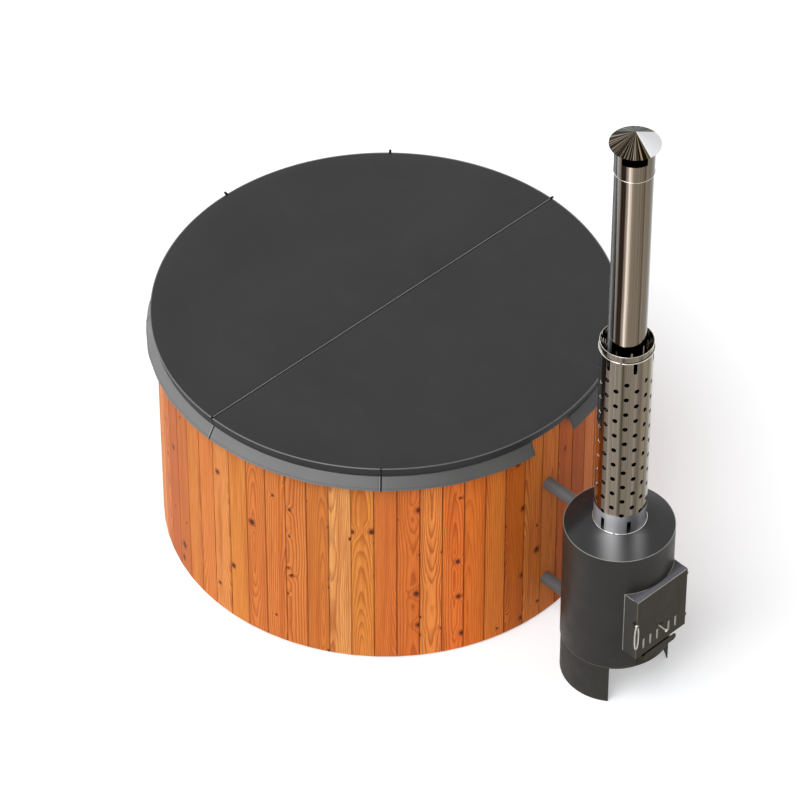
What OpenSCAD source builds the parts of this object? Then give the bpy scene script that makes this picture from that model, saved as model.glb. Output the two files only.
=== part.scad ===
// Round wooden hot tub with an external wood-burning stove.
// Millimetres, +Z up. The origin is the centre of the tub on the ground,
// and the stove stands on the +X side with its fire door facing +X.

/* [Tub] */
// Outside diameter of the stave wall
tub_d = 1800; // [1500:10:2100]
// Height of the stave tops above the ground
wall_h = 990; // [820:5:1190]
// Number of staves round the wall
stave_count = 64; // [48:1:80]
// Thickness of a stave
stave_t = 28; // [20:1:36]
// Bevel on the outer edges of a stave
stave_bevel = 2.5; // [1:0.5:5]
// Angle of the first stave from the stove line
stave_turn = 1; // [-3:0.5:3]
// Gap between the staves and the ground
stave_lift = 6; // [3:1:20]
// Height of a ground bearer
bearer_h = 48; // [44:1:60]
// Width of a ground bearer
bearer_w = 60; // [40:1:100]
// Thickness of the floor deck
deck_t = 18; // [12:1:28]
// Thickness of the foam under the liner floor
foam_t = 30; // [20:1:44]
// Radial width of the rings that carry the staves
ring_w = 21; // [15:1:30]
// Height of the rings that carry the staves
ring_h = 30; // [20:1:50]

/* [Liner] */
// Wall thickness of the moulded liner
liner_t = 6; // [4:0.5:10]
// Thickness of the liner's rim
rim_t = 8; // [5:0.5:14]
// How far the rim reaches past the staves
rim_over = 3; // [1:0.5:5]
// Height of the bench above the ground
bench_h = 436; // [380:2:520]
// Depth of the bench from front to wall
bench_w = 292; // [240:2:340]
// Draft of the liner walls
draft = 8; // [2:1:20]

/* [Cover] */
// How far the cover's top edge reaches past the staves
cover_over = 22; // [20:1:40]
// Thickness of the cover at its edge
cover_t = 50; // [35:1:80]
// How far the edge band leans in at its foot
band_tuck = 13; // [6:1:15]
// Thickness of the leatherette
skin_t = 2; // [1:0.25:3]
// How far a skirt panel flares outwards
skirt_out = 29; // [15:1:45]
// Drop of a skirt panel
skirt_drop = 50; // [30:1:80]
// Width of the gap in the skirt that faces the stove
skirt_mouth = 200; // [120:5:300]
// Radius of the piping round the top edge
piping_r = 3.2; // [2:0.1:4.5]

/* [Stove] */
// Distance from the staves to the stove casing
stove_gap = 169.5; // [120:0.5:400]
// Outside diameter of the stove casing
casing_d = 431; // [412:1:470]
// Height of the casing's lower edge above the ground
casing_z = 190; // [186:1:260]
// Height of the casing
casing_h = 582; // [540:2:680]
// Sheet thickness of the casing
casing_t = 3; // [2:0.5:4]
// Sheet thickness of the domed lid
lid_t = 4; // [2:0.5:6]
// Rise of the lid from its edge to the heat shield's foot
lid_rise = 33; // [15:1:45]
// Opening angle of the base shell under the door
base_mouth = 104; // [60:2:130]
// Outside diameter of the water jacket
jacket_d = 380; // [350:2:386]
// Plate thickness of the water jacket
jacket_t = 4; // [3:0.5:6]
// Inside diameter of the firebox
fire_d = 296; // [280:2:300]
// Outside diameter of the connecting pipes
pipe_d = 50; // [40:1:60]
// Wall thickness of the connecting pipes
pipe_t = 4; // [2:0.5:5]
// Depth of the hot pipe below the casing's top
hot_drop = 61; // [54:1:140]
// Height of the cold pipe above the casing's lower edge
cold_rise = 4; // [0:1:30]

/* [Chimney] */
// Outside diameter of the flue pipe
flue_d = 145; // [120:1:180]
// Wall thickness of the flue pipe
flue_t = 1.8; // [1:0.1:3]
// Height of the flue pipe's top above the ground
flue_top = 2600; // [2200:10:3000]
// Outside diameter of the heat shield
shield_d = 203; // [185:1:230]
// Wall thickness of the heat shield
shield_t = 1.6; // [1:0.1:3]
// Height of the heat shield
shield_h = 911; // [780:1:1060]
// Diameter of a hole in the heat shield
hole_d = 20; // [12:0.5:26]
// Height from one hole to the next in a column
hole_pitch = 75; // [60:1:90]
// Number of hole columns round the heat shield
hole_columns = 16; // [12:2:18]
// Width of a slot at the heat shield's ends
shield_slot_w = 15; // [8:0.5:20]
// Height of a slot at the heat shield's ends
shield_slot_h = 55; // [30:1:65]
// Distance from the heat shield's top to its upper ring
ring_inset = 30; // [15:1:40]
// Diameter of the rain cap's cone
cone_d = 190; // [170:1:240]
// Height of the rain cap's cone
cone_h = 53; // [35:1:80]
// Angle of one window in the rain cap's sleeve
window_a = 77; // [50:1:95]

/* [Fire door] */
// Width of the fire door
door_w = 274; // [266:1:330]
// Height of the fire door
door_h = 303; // [280:1:330]
// Height of the fire door's lower edge above the casing's lower edge
door_rise = 104; // [96:1:120]
// Depth of the fire door's pan
door_t = 22; // [17:0.5:30]
// Sheet thickness of the fire door and its collar
door_sheet = 2.5; // [2:0.25:4]
// Height of an air slot in the fire door
air_slot_h = 50; // [30:1:60]
// Width of an air slot in the fire door
air_slot_w = 7; // [4:0.5:9]
// Distance from one air slot to the next
air_pitch = 37.5; // [30:0.5:39]
// Height of the door handle's loop
loop_h = 126; // [80:1:150]
// Width of the door handle's loop
loop_w = 27; // [22:1:40]
// Radius of the door handle's rod
loop_r = 3; // [2:0.25:5]

/* [Ash drawer] */
// Width of the ash drawer's front
ash_w = 168; // [140:2:180]
// Height of the ash drawer's front
ash_h = 58; // [50:1:60]
// Length of the ash drawer's tray
ash_l = 330; // [250:5:340]
// Width of the drawer's pull lip
lip_w = 177; // [150:1:190]
// Height of the drawer's pull lip
lip_h = 32; // [20:1:34]

/* [Drain] */
// Outside diameter of the drain pipe
drain_d = 32; // [25:1:36]
// Distance of the drain from the footwell's wall
drain_inset = 150; // [100:5:250]
// Length of the drain valve's lever
lever_l = 92; // [70:1:120]

/* [Fits] */
// Gap between pieces that move past each other
run_gap = 0.3; // [0.2:0.05:0.5]
// Radial gap between a pin and its bore
pin_gap = 0.05; // [0.02:0.01:0.1]
// Gap between fixed pieces that lie beside each other
seat_gap = 0.2; // [0.1:0.05:0.4]

/* [Hidden] */
$fn = 96;

wood = "#c8803f";
timber = "#8f8a5c";
plastic = "#b9bfc2";
black_plastic = "#3b3f42";
paint = "#35332f";
door_paint = "#3f3b2e";
steel = "#a39a8c";
leatherette = "#444546";
piping_grey = "#8a8c8d";
skirt_grey = "#6d7172";
foam = "#d8d4c4";
iron = "#2a2826";
brass = "#b08d4a";

eps = 1;                                   // how far a cut runs past its face

// Tub
tub_r = tub_d / 2;
stave_a = 360 / stave_count;
stave_gap = 0.4;                           // between neighbouring staves
stave_face = tub_r * cos(stave_a / 2);     // from the axis to a stave's outer face
wall_in = stave_face - stave_t;
ring_out = wall_in - run_gap;
ring_in = ring_out - ring_w;
deck_z = bearer_h + deck_t;
floor_z = deck_z + foam_t + liner_t;       // wet side of the floor
rim_z = wall_h + rim_t;
rim_r = tub_r + rim_over;
liner_r = ring_in - run_gap;               // liner's outside below the rim
bench_r = liner_r - draft;
foot_r = bench_r - bench_w;                // outside of the footwell wall
upper_ring_z = wall_h - ring_h - 10;       // 10 below the stave tops
middle_ring_z = bench_h - ring_h;
bearer_pitch = tub_r / 3;

// Where the stove stands, and the heights of its two pipes
casing_r = casing_d / 2;
casing_top = casing_z + casing_h;
stove_x = tub_r + stove_gap + casing_r;
hot_z = casing_top - hot_drop;
cold_z = casing_z + cold_rise;

// Connecting pipes and wall fittings, along X
pipe_r = pipe_d / 2;
pipe_bore = pipe_r - pipe_t;
neck_r = pipe_r + 5;                       // wall of 5 round the pipe socket
flange_r = neck_r + 14;
nut_r = neck_r + 13;
flange_t = 5;
nut_t = 9;
socket_l = 17;
hot_wall = bench_r + draft * (hot_z - bench_h) / (wall_h - bench_h);
cold_wall = foot_r - draft * (bench_h - cold_z) / (bench_h - floor_z);
neck_end_hot = wall_in - 3;                // 3 short of the staves
neck_end_cold = cold_wall + nut_t + socket_l;
cap_r = flange_r - 4;
cap_l = 18;

// Stove
casing_in = casing_r - casing_t;
base_t = 4;
base_r = casing_in - run_gap;
base_top = casing_z + 8;                   // tucked 8 into the casing
socket_r = pipe_r + 5;
jacket_r = jacket_d / 2;
jacket_z0 = cold_z - socket_r - 4;
jacket_z1 = casing_top - 22;
fire_r = fire_d / 2;
ash_z = base_top + base_t + 2 * jacket_t - 5;  // ash drawer's floor, in the jacket
fire_top = jacket_z1 - 50;
stub_l = sqrt(pow(base_r - base_t, 2) - pow(socket_r, 2)) - jacket_r - 2;
ledge_w = 9;
lid_r = casing_in - seat_gap;
lid_edge = casing_top - 1;                 // top of the lid's edge, inside the casing's rim

// Ash drawer, below the fire door
ash_front_z = casing_z + 4;
ash_front_t = 3;
ash_front_r = casing_r + run_gap;
ash_in_w = ash_w - 12;
ash_in_h = ash_h - 16;
lip_x = casing_r + door_t + 0.5;           // flush with the fire door's face
lip_z = ash_front_z + ash_h;
lip_t = 2.5;
lip_corner = lip_h * 0.44;

// Fire door
door_z0 = casing_z + door_rise;
door_z1 = door_z0 + door_h;
collar_x = casing_r + 0.5;                 // collar's front face, from the stove's axis
door_x0 = collar_x + run_gap;
door_x1 = collar_x + door_t;
throat_w = door_w - 58;
throat_h = door_h - 57;
throat_z = door_z0 + 28;
grate_z = door_z0 - 8;
grate_t = 8;
hinge_x = door_x0 + 9;
hinge_y = door_w / 2 + 6.5;
hinge_r = 5.5;
hinge_pin_r = 3;
knuckle_l = 16;
hinge_zs = [door_z0 + 40, door_z1 - 39];

// Air slots: three on the left of the knob and two on its right
slot_ys = concat([for (k = [-1:1]) -1.53 * air_pitch + k * air_pitch],
                 [for (k = [0:1]) 1.15 * air_pitch + k * air_pitch]);
slot_z = door_z0 + 57;
damper_t = 2;
damper_x = door_x1 - door_sheet - run_gap - damper_t;
damper_travel = air_pitch / 2;
damper_z0 = slot_z - air_slot_h / 2 - 9;
damper_z1 = slot_z + air_slot_h / 2 + 26;
damper_edge = 14;
knob_y = -13;
knob_z = slot_z + air_slot_h / 2 + 17;
knob_out = 42;
knob_r = 6.5;
stem_r = 3;

// Door handle, hung on a stud beside the door
handle_y = -door_w / 2 - 6;
handle_z = door_z0 + 188;
stud_r = 3;
boss_r = 7;
handle_x = door_x1 + 5.5;                  // middle of the loop's rod

// Chimney
flue_r = flue_d / 2;
flue_in = flue_r - flue_t;
spigot_r = flue_in - run_gap;
spigot_t = 3;
shield_r = shield_d / 2;
shield_in = shield_r - shield_t;
dome_c = lid_edge + lid_rise / 2 - (pow(lid_r, 2) - pow(shield_r, 2)) / (2 * lid_rise);
dome_r = norm([lid_r, lid_edge - dome_c]); // radius of the lid's dome
flue_z = lid_z(flue_in) + run_gap;
shield_z0 = lid_z(shield_in) + run_gap;
shield_z1 = shield_z0 + shield_h;
first_hole = 98;                           // heat shield's foot to the lowest hole
last_hole = 130;                           // least height left above the highest hole
holes_a = floor((shield_h - first_hole - last_hole) / hole_pitch) + 1;
column_turn = -44;
slot_turn = 33;
spacer_w = 16;
ring_wire = 2.2;
ring_split = 4;
ring_zs = [shield_z0 + ring_wire, shield_z1 - ring_inset];
slot_zs = [shield_z0 + 2 * ring_wire, shield_z1 - ring_inset - ring_wire - shield_slot_h];
sleeve_in = flue_r + run_gap;
sleeve_r = sleeve_in + 2;
sleeve_z0 = flue_top - 62;
window_z0 = flue_top + 10;
window_z1 = flue_top + 55;
cone_z = flue_top + 64;
cone_t = 2;
cap_turn = -46;

// Cover, hinged on the Y axis at its top face
cover_z0 = rim_z + run_gap + seat_gap;
cover_z1 = cover_z0 + cover_t;
cover_r = tub_r + cover_over;
band_r = cover_r - band_tuck;
fold_half = 0.75;                          // half the gap at the fold
fold_notch = 4.2;
fold_rod = 2.7;
fold_end = cover_r - 2 * piping_r - 1;     // where the fold's piping stops, inside the edge's
lining_t = 1.5;
skirt_t = 2.5;
skirt_r = band_r + run_gap;
seam_r = 2;
seam_half = seam_r + seat_gap;
panel_a = 45;

// Drain, run between two bearers
drain_x = foot_r - drain_inset;            // from the tub's axis, towards -X
drain_r = drain_d / 2;
drain_bore = drain_r - 3.5;
drain_y = bearer_pitch / 2;
drain_z = drain_r + 10;
bend_r = drain_r + 8;
drain_wall = sqrt(pow(tub_r, 2) - pow(drain_y, 2));  // where the pipe leaves the staves
valve_x = -(drain_wall + 50);
valve_r = drain_r + 5;
valve_l = 64;
ball_r = drain_bore + 4.5;
tail_r = drain_r - 1;                      // the outlet's tail, for a hose
tail_l = 20;

// Height of the lid's top surface, and of a surface t below it, at radius r
function lid_z(r, t = 0) = dome_c + sqrt(pow(dome_r - t, 2) - r * r);
function unit(v) = v / norm(v);
// Points of the arc that rounds corner b with radius r, from the side of a to that of c
function fillet(a, b, c, r, n = 6) =
    let (u = unit(a - b), v = unit(c - b), half = acos(u * v) / 2,
         o = b + unit(u + v) * r / sin(half),
         s = b + u * r / tan(half) - o, e = b + v * r / tan(half) - o)
    [for (i = [0:n]) o + r * unit(s * (1 - i / n) + e * i / n)];
// An open path through corners [x, y, radius], with each inner corner rounded
function rounded(c) = concat([[c[0][0], c[0][1]]],
    [for (i = [1:len(c) - 2]) each fillet([c[i - 1][0], c[i - 1][1]], [c[i][0], c[i][1]],
                                          [c[i + 1][0], c[i + 1][1]], c[i][2])],
    [[c[len(c) - 1][0], c[len(c) - 1][1]]]);
function reversed(l) = [for (i = [len(l) - 1:-1:0]) l[i]];

// A round bar along X
module x_bar(r, x0, x1, z = 0, y = 0, n = 96)
    translate([x0, y, z]) rotate([0, 90, 0]) cylinder(r = r, h = x1 - x0, $fn = n);
// A ring about Z
module ring(r_out, r_in, z0, z1)
    translate([0, 0, z0]) difference() {
        cylinder(r = r_out, h = z1 - z0, $fn = 180);
        translate([0, 0, -eps]) cylinder(r = r_in, h = z1 - z0 + 2 * eps, $fn = 180);
    }
// A box from its two corners
module block(a, b) translate(a) cube(b - a);
module at_stove() translate([stove_x, 0, 0]) children();

// Holes for the two connecting pipes, with clearance c round them
module pipe_holes(c, x0, x1) {
    x_bar(pipe_r + c, x0, x1, hot_z);
    x_bar(pipe_r + c, x0, x1, cold_z);
}
module drain_hole(c) x_bar(drain_r + c, -tub_r - eps, -wall_in + stave_t, drain_z, drain_y);

// ---- Tub ----
module ground_bearers() color(timber)
    for (k = [-2:2]) {
        y = k * bearer_pitch;
        half = sqrt(pow(ring_out - 12, 2) - pow(abs(y) + bearer_w / 2, 2));
        block([-half, y - bearer_w / 2, 0], [half, y + bearer_w / 2, bearer_h]);
    }

module floor_deck() color(timber) difference() {
    translate([0, 0, bearer_h]) cylinder(r = ring_out, h = deck_t, $fn = 180);
    translate([-drain_x, drain_y, 0]) cylinder(r = drain_r + 8, h = deck_z + eps);
}

module floor_foam() color(foam) difference() {
    translate([0, 0, deck_z]) cylinder(r = foot_r - draft, h = foam_t, $fn = 180);
    translate([-drain_x, drain_y, 0]) cylinder(r = drain_r + 8, h = floor_z);
}

module stave_rings() color(timber)
    for (z = [middle_ring_z, upper_ring_z]) ring(ring_out, ring_in, z, z + ring_h);

module wall_insulation() color(foam) difference() {
    union() {
        ring(ring_out, ring_in, deck_z, middle_ring_z);
        ring(ring_out, ring_in, middle_ring_z + ring_h, upper_ring_z);
    }
    x_bar(nut_r + 1, ring_in - 10, ring_out + eps, hot_z);
    x_bar(pipe_r + seat_gap, ring_in - 10, ring_out + eps, cold_z);
}

// One stave's outline: edges on radial lines, with bevelled outer corners
function edge_y(x) = x * tan(stave_a / 2) - stave_gap / 2;
stave_half = [
    [wall_in, edge_y(wall_in)],
    [stave_face - stave_bevel, edge_y(stave_face - stave_bevel)],
    [stave_face, edge_y(stave_face) - stave_bevel]
];
module staves(first, last)
    for (k = [first:last]) rotate(stave_turn + k * stave_a)
        translate([0, 0, stave_lift]) linear_extrude(wall_h - stave_lift)
            polygon(concat([for (p = stave_half) [p[0], -p[1]]], reversed(stave_half)));
module wall_staves() color(wood) difference() {
    staves(1, stave_count - 1);
    pipe_holes(seat_gap, wall_in - eps, tub_r + eps);
    drain_hole(seat_gap);
}
// The stave that the connecting pipes pass through
module pipe_stave() color(wood) difference() {
    staves(0, 0);
    pipe_holes(seat_gap, wall_in - eps, tub_r + eps);
}

// Moulded shell: rim, wall, bench all round, footwell
module liner() color(plastic) difference() {
    rotate_extrude($fn = 180) polygon(concat(
        rounded([[rim_r, wall_h], [liner_r, wall_h, 3], [bench_r, bench_h - liner_t, 46],
                 [foot_r, bench_h - liner_t, 24], [foot_r - draft, floor_z - liner_t, 46],
                 [0, floor_z - liner_t]]),
        reversed(rounded([[rim_r, rim_z], [liner_r - liner_t, rim_z, 9],
                 [bench_r - liner_t, bench_h, 40], [foot_r - liner_t, bench_h, 30],
                 [foot_r - draft - liner_t, floor_z, 40], [0, floor_z]]))));
    x_bar(neck_r + seat_gap, hot_wall - 40, hot_wall + 40, hot_z);
    x_bar(neck_r + seat_gap, cold_wall - 40, cold_wall + 40, cold_z);
    translate([-drain_x, drain_y, 0]) cylinder(r = drain_r + seat_gap, h = floor_z + eps);
}

// Through-wall fitting: flange on the wet side, neck with a pipe socket outside
module wall_fitting(wall, neck_end, z) {
    face = sqrt(pow(wall - liner_t, 2) - pow(flange_r, 2)) - 1;
    difference() {
        union() {
            x_bar(flange_r, face - flange_t, face, z);
            x_bar(neck_r, face - flange_t / 2, neck_end, z);
        }
        x_bar(pipe_bore, face - flange_t - eps, neck_end + eps, z);
        x_bar(pipe_r + pin_gap, neck_end - socket_l, neck_end + eps, z);
    }
}
module hot_fitting() color(black_plastic) wall_fitting(hot_wall, neck_end_hot, hot_z);
module cold_fitting() color(black_plastic) wall_fitting(cold_wall, neck_end_cold, cold_z);

module fitting_nuts() color(black_plastic)
    for (p = [[hot_wall, hot_z, wall_h - bench_h], [cold_wall, cold_z, bench_h - floor_z]]) {
        x0 = p[0] + draft * nut_r / p[2] + seat_gap;
        difference() {
            x_bar(nut_r, x0, x0 + nut_t, p[1], 0, 6);
            x_bar(neck_r + pin_gap, x0 - eps, x0 + nut_t + eps, p[1]);
        }
    }

// Slotted cap over a fitting, on the wet side
module slotted_cap(wall, z) {
    back = sqrt(pow(wall - liner_t, 2) - pow(flange_r, 2)) - 1 - flange_t - seat_gap;
    difference() {
        x_bar(cap_r, back - cap_l, back, z);
        x_bar(cap_r - 3, back - cap_l + 3, back + eps, z);
        for (k = [0:11]) translate([back - cap_l / 2, 0, z]) rotate([k * 30, 0, 0])
            block([-cap_l / 2 + 5, -2, cap_r - 6], [cap_l / 2 - 3, 2, cap_r + eps]);
        for (k = [-3:3]) block([back - cap_l - eps, -cap_r * 0.62, z + k * 9 - 2],
                               [back - cap_l + 4, cap_r * 0.62, z + k * 9 + 2]);
    }
}
module inlet_cap() color(black_plastic) slotted_cap(hot_wall, hot_z);
module suction_cap() color(black_plastic) slotted_cap(cold_wall, cold_z);

// Pipe from a wall fitting's socket to the socket on the water jacket
module stove_pipe(neck_end, z) difference() {
    x_bar(pipe_r, neck_end - socket_l + seat_gap, stove_x - jacket_r - seat_gap, z);
    x_bar(pipe_bore, neck_end - socket_l, stove_x - jacket_r, z);
}
module hot_pipe() color(black_plastic) stove_pipe(neck_end_hot, hot_z);
module cold_pipe() color(black_plastic) stove_pipe(neck_end_cold, cold_z);

// ---- Drain ----
module drain_grate() color(black_plastic) translate([-drain_x, drain_y, 0]) difference() {
    union() {
        translate([0, 0, floor_z + seat_gap]) cylinder(r = drain_r + 10, h = 4);
        translate([0, 0, floor_z - 20]) cylinder(r = drain_bore - pin_gap, h = 21);
    }
    for (k = [0:7]) rotate(k * 45) translate([drain_bore * 0.55, 0, floor_z - 21])
        cylinder(r = 2.4, h = 27, $fn = 24);
}

// Down from the floor, round a quarter bend and out between the bearers
module drain_run(r) {
    translate([0, 0, drain_z + bend_r]) cylinder(r = r, h = floor_z - drain_z - bend_r);
    translate([-bend_r, 0, drain_z + bend_r]) rotate([90, 0, 0])
        rotate_extrude(angle = -90) translate([bend_r, 0]) circle(r = r);
    translate([drain_x, 0, 0]) x_bar(r, valve_x + valve_l / 2 - 14, -drain_x - bend_r, drain_z);
}
module drain_pipe() color(black_plastic) translate([-drain_x, drain_y, 0]) difference() {
    drain_run(drain_r);
    translate([0, 0, drain_z + bend_r]) cylinder(r = drain_bore, h = floor_z);
    translate([-bend_r, 0, drain_z + bend_r]) rotate([90, 0, 0])
        rotate_extrude(angle = -90) translate([bend_r, 0]) circle(r = drain_bore);
    translate([drain_x, 0, 0]) x_bar(drain_bore, valve_x, -drain_x - bend_r, drain_z);
}

module at_valve() translate([valve_x, drain_y, drain_z]) children();
module drain_valve() color(brass) at_valve() difference() {
    union() {
        x_bar(valve_r, -valve_l / 2 + 14, valve_l / 2 - 14);
        x_bar(valve_r + 1, -valve_l / 2, -valve_l / 2 + 16, 0, 0, 8);
        x_bar(valve_r + 1, valve_l / 2 - 16, valve_l / 2, 0, 0, 8);
        cylinder(r = 9, h = valve_r + 8);
    }
    x_bar(drain_bore, -valve_l, valve_l);
    x_bar(drain_r + pin_gap, valve_l / 2 - 15, valve_l);
    x_bar(drain_r + pin_gap, -valve_l, -valve_l / 2 + 15);
    sphere(r = ball_r + run_gap);
    cylinder(r = 5 + pin_gap, h = valve_r + 9);
}
module drain_outlet() color(brass) at_valve() difference() {
    union() {
        x_bar(drain_r, -valve_l / 2, -valve_l / 2 + 14);
        x_bar(tail_r, -valve_l / 2 - tail_l, -valve_l / 2 + 1);
    }
    x_bar(drain_bore, -valve_l / 2 - tail_l - eps, -valve_l / 2 + 15);
}
module drain_ball() color(steel) at_valve() difference() {
    union() {
        sphere(r = ball_r);
        cylinder(r = 5, h = valve_r + 14);
    }
    rotate(90) x_bar(drain_bore, -valve_l, valve_l);
}
module drain_lever() color("#7d1f1c") at_valve() translate([0, 0, valve_r + 9]) difference() {
    union() {
        cylinder(r = 10, h = 4);
        block([-7, 0, 0], [7, lever_l - 7, 4]);
        translate([0, lever_l - 7, 0]) cylinder(r = 7, h = 4);
    }
    translate([0, 0, -eps]) cylinder(r = 5 + pin_gap, h = 4 + 2 * eps);
}

// ---- Stove body ----
// C-shaped shell, open under the door
module stove_base() color(paint) difference() {
    at_stove() rotate(base_mouth / 2) rotate_extrude(angle = 360 - base_mouth, $fn = 180)
        translate([base_r - base_t, 0]) square([base_t, base_top]);
    pipe_holes(1, stove_x - base_r - eps, stove_x - base_r + 20);
}
module support_ring() color(paint) difference() {
    at_stove() ring(base_r, jacket_r + seat_gap, base_top, base_top + base_t);
    x_bar(socket_r + 1, stove_x - base_r - eps, stove_x, cold_z);
    at_stove() block([0, -ash_w / 2 + 5, base_top - eps], [casing_r, ash_w / 2 - 5, base_top + 5]);
}

// Rolled rim at the top, ledge for the lid, and openings at the front
ledge_z = lid_edge - lid_t - seat_gap;
module stove_casing() color(paint) difference() {
    at_stove() rotate_extrude($fn = 180) polygon(concat(
        [[casing_r, casing_z]],
        [for (i = [0:4]) [casing_r - casing_t / 2 * (1 - cos(i * 45)),
                          casing_top - casing_t / 2 + casing_t / 2 * sin(i * 45)]],
        [[casing_in, ledge_z], [casing_in - ledge_w, ledge_z],
         [casing_in - ledge_w, ledge_z - casing_t], [casing_in, ledge_z - casing_t],
         [casing_in, casing_z]]));
    pipe_holes(1, stove_x - casing_r - eps, stove_x - casing_in + 20);
    at_stove() block([0, -throat_w / 2 - 5, throat_z - 5],
                     [casing_r + eps, throat_w / 2 + 5, throat_z + throat_h + 5]);
    at_stove() block([0, -ash_in_w / 2 - 1, ash_z - 1],
                     [casing_r + eps, ash_in_w / 2 + 1, ash_z + ash_in_h + 1]);
}

// Shallow dome with a flat edge that rests on the ledge
module stove_lid() color(paint) at_stove() rotate_extrude($fn = 180) {
    hole = spigot_r + 1;
    polygon(concat([for (i = [0:12]) let (r = hole + (lid_r - hole) * i / 12) [r, lid_z(r)]],
                   [[lid_r, lid_edge - lid_t], [lid_r - ledge_w, lid_edge - lid_t]],
                   [for (i = [11:-1:0]) let (r = hole + (lid_r - ledge_w - hole) * i / 12)
                       [r, lid_z(r, lid_t)]]));
}

// Double-walled vessel: firebox inside, water round it, tunnels to the two doors,
// the flue spigot on top and two pipe sockets at the back
module water_jacket() color(iron) difference() {
    union() {
        at_stove() rotate_extrude($fn = 180) difference() {
            translate([0, jacket_z0]) square([jacket_r, jacket_z1 - jacket_z0]);
            polygon([[fire_r + jacket_t, jacket_z1 - jacket_t], [jacket_r - jacket_t, jacket_z1 - jacket_t],
                     [jacket_r - jacket_t, jacket_z0 + jacket_t], [0, jacket_z0 + jacket_t],
                     [0, ash_z - jacket_t], [fire_r + jacket_t, ash_z - jacket_t]]);
            translate([0, ash_z]) square([fire_r, grate_z - ash_z - 6]);
            translate([0, grate_z - 7]) square([fire_r - 10, 8]);
            translate([0, grate_z]) square([fire_r, fire_top - grate_z]);
            translate([0, fire_top - eps]) square([spigot_r - spigot_t, jacket_z1]);
        }
        at_stove() intersection() {
            block([fire_r - 20, -throat_w / 2 - jacket_t, throat_z - jacket_t],
                  [collar_x - door_sheet - seat_gap, throat_w / 2 + jacket_t,
                   throat_z + throat_h + jacket_t]);
            difference() {
                cylinder(r = 2 * casing_r, h = casing_top);
                cylinder(r = fire_r + jacket_t / 2, h = casing_top, $fn = 180);
            }
        }
        at_stove() intersection() {
            block([0, -ash_in_w / 2 - jacket_t, ash_z - jacket_t],
                  [casing_r, ash_in_w / 2 + jacket_t, ash_z + ash_in_h + jacket_t]);
            ring(jacket_r, fire_r + jacket_t / 2, 0, casing_top);
        }
        at_stove() ring(spigot_r, spigot_r - spigot_t, fire_top, flue_z + 40);
        for (z = [hot_z, cold_z])
            x_bar(socket_r, stove_x - jacket_r - stub_l, stove_x - jacket_r + 12, z);
    }
    at_stove() block([0, -throat_w / 2, throat_z], [collar_x, throat_w / 2, throat_z + throat_h]);
    at_stove() block([0, -ash_in_w / 2, ash_z], [casing_r, ash_in_w / 2, ash_z + ash_in_h]);
    for (z = [hot_z, cold_z]) {
        x_bar(pipe_bore, stove_x - jacket_r - stub_l - eps, stove_x - jacket_r + 13, z);
        x_bar(pipe_r + pin_gap, stove_x - jacket_r - stub_l - eps, stove_x - jacket_r, z);
    }
}

module fire_grate() color(iron) at_stove() difference() {
    translate([0, 0, grate_z]) cylinder(r = fire_r - run_gap, h = grate_t);
    for (k = [-4:4]) {
        y = k * 26;
        half = sqrt(pow(fire_r - 22, 2) - y * y);
        block([-half, y - 6, grate_z - eps], [half, y + 6, grate_z + grate_t + eps]);
    }
}

// ---- Fire door and its collar ----
// Box round the fire opening, cut to sit on the round casing
module door_collar() color(paint) at_stove() difference() {
    block([0, -door_w / 2, door_z0], [collar_x, door_w / 2, door_z1]);
    block([-eps, -door_w / 2 + door_sheet, door_z0 + door_sheet],
          [collar_x - door_sheet, door_w / 2 - door_sheet, door_z1 - door_sheet]);
    cylinder(r = casing_r + seat_gap, h = casing_top, $fn = 180);
    block([0, -throat_w / 2, throat_z], [collar_x + eps, throat_w / 2, throat_z + throat_h]);
}

module door_hinge_pins() color(paint) at_stove() for (z = hinge_zs) {
    translate([hinge_x, hinge_y, z - knuckle_l]) {
        cylinder(r = hinge_r, h = knuckle_l);
        cylinder(r = hinge_pin_r, h = 2 * knuckle_l - 2);
    }
    block([hinge_x - 34, door_w / 2 + seat_gap, z - knuckle_l + 2],
          [hinge_x, hinge_y + 2, z - 2]);
}

module door_barrels() color(door_paint) at_stove() for (z = hinge_zs) difference() {
    union() {
        translate([hinge_x, hinge_y, z + run_gap]) cylinder(r = hinge_r, h = knuckle_l);
        block([hinge_x, door_w / 2 + seat_gap, z + 2],
              [hinge_x + 10, hinge_y + 1, z + knuckle_l - 2]);
    }
    translate([hinge_x, hinge_y, z - eps]) cylinder(r = hinge_pin_r + pin_gap, h = knuckle_l + 3);
}

// A slot with round ends through the door's sheet
module air_slot(y, x0, x1) for (z = [-1, 1])
    translate([x0, y, slot_z + z * (air_slot_h - air_slot_w) / 2]) {
        rotate([0, 90, 0]) cylinder(r = air_slot_w / 2, h = x1 - x0, $fn = 32);
        block([0, -air_slot_w / 2, z < 0 ? 0 : -(air_slot_h - air_slot_w) / 2],
              [x1 - x0, air_slot_w / 2, z < 0 ? (air_slot_h - air_slot_w) / 2 : 0]);
    }

module door_pan() color(door_paint) at_stove() difference() {
    block([door_x0, -door_w / 2, door_z0], [door_x1, door_w / 2, door_z1]);
    block([door_x0 - eps, -door_w / 2 + door_sheet, door_z0 + door_sheet],
          [door_x1 - door_sheet, door_w / 2 - door_sheet, door_z1 - door_sheet]);
    for (y = slot_ys) air_slot(y, door_x1 - door_sheet - eps, door_x1 + eps);
    block([door_x1 - door_sheet - eps, knob_y - stem_r - 1, knob_z - stem_r - 1],
          [door_x1 + eps, knob_y + damper_travel + stem_r + 1, knob_z + stem_r + 1]);
}

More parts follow.
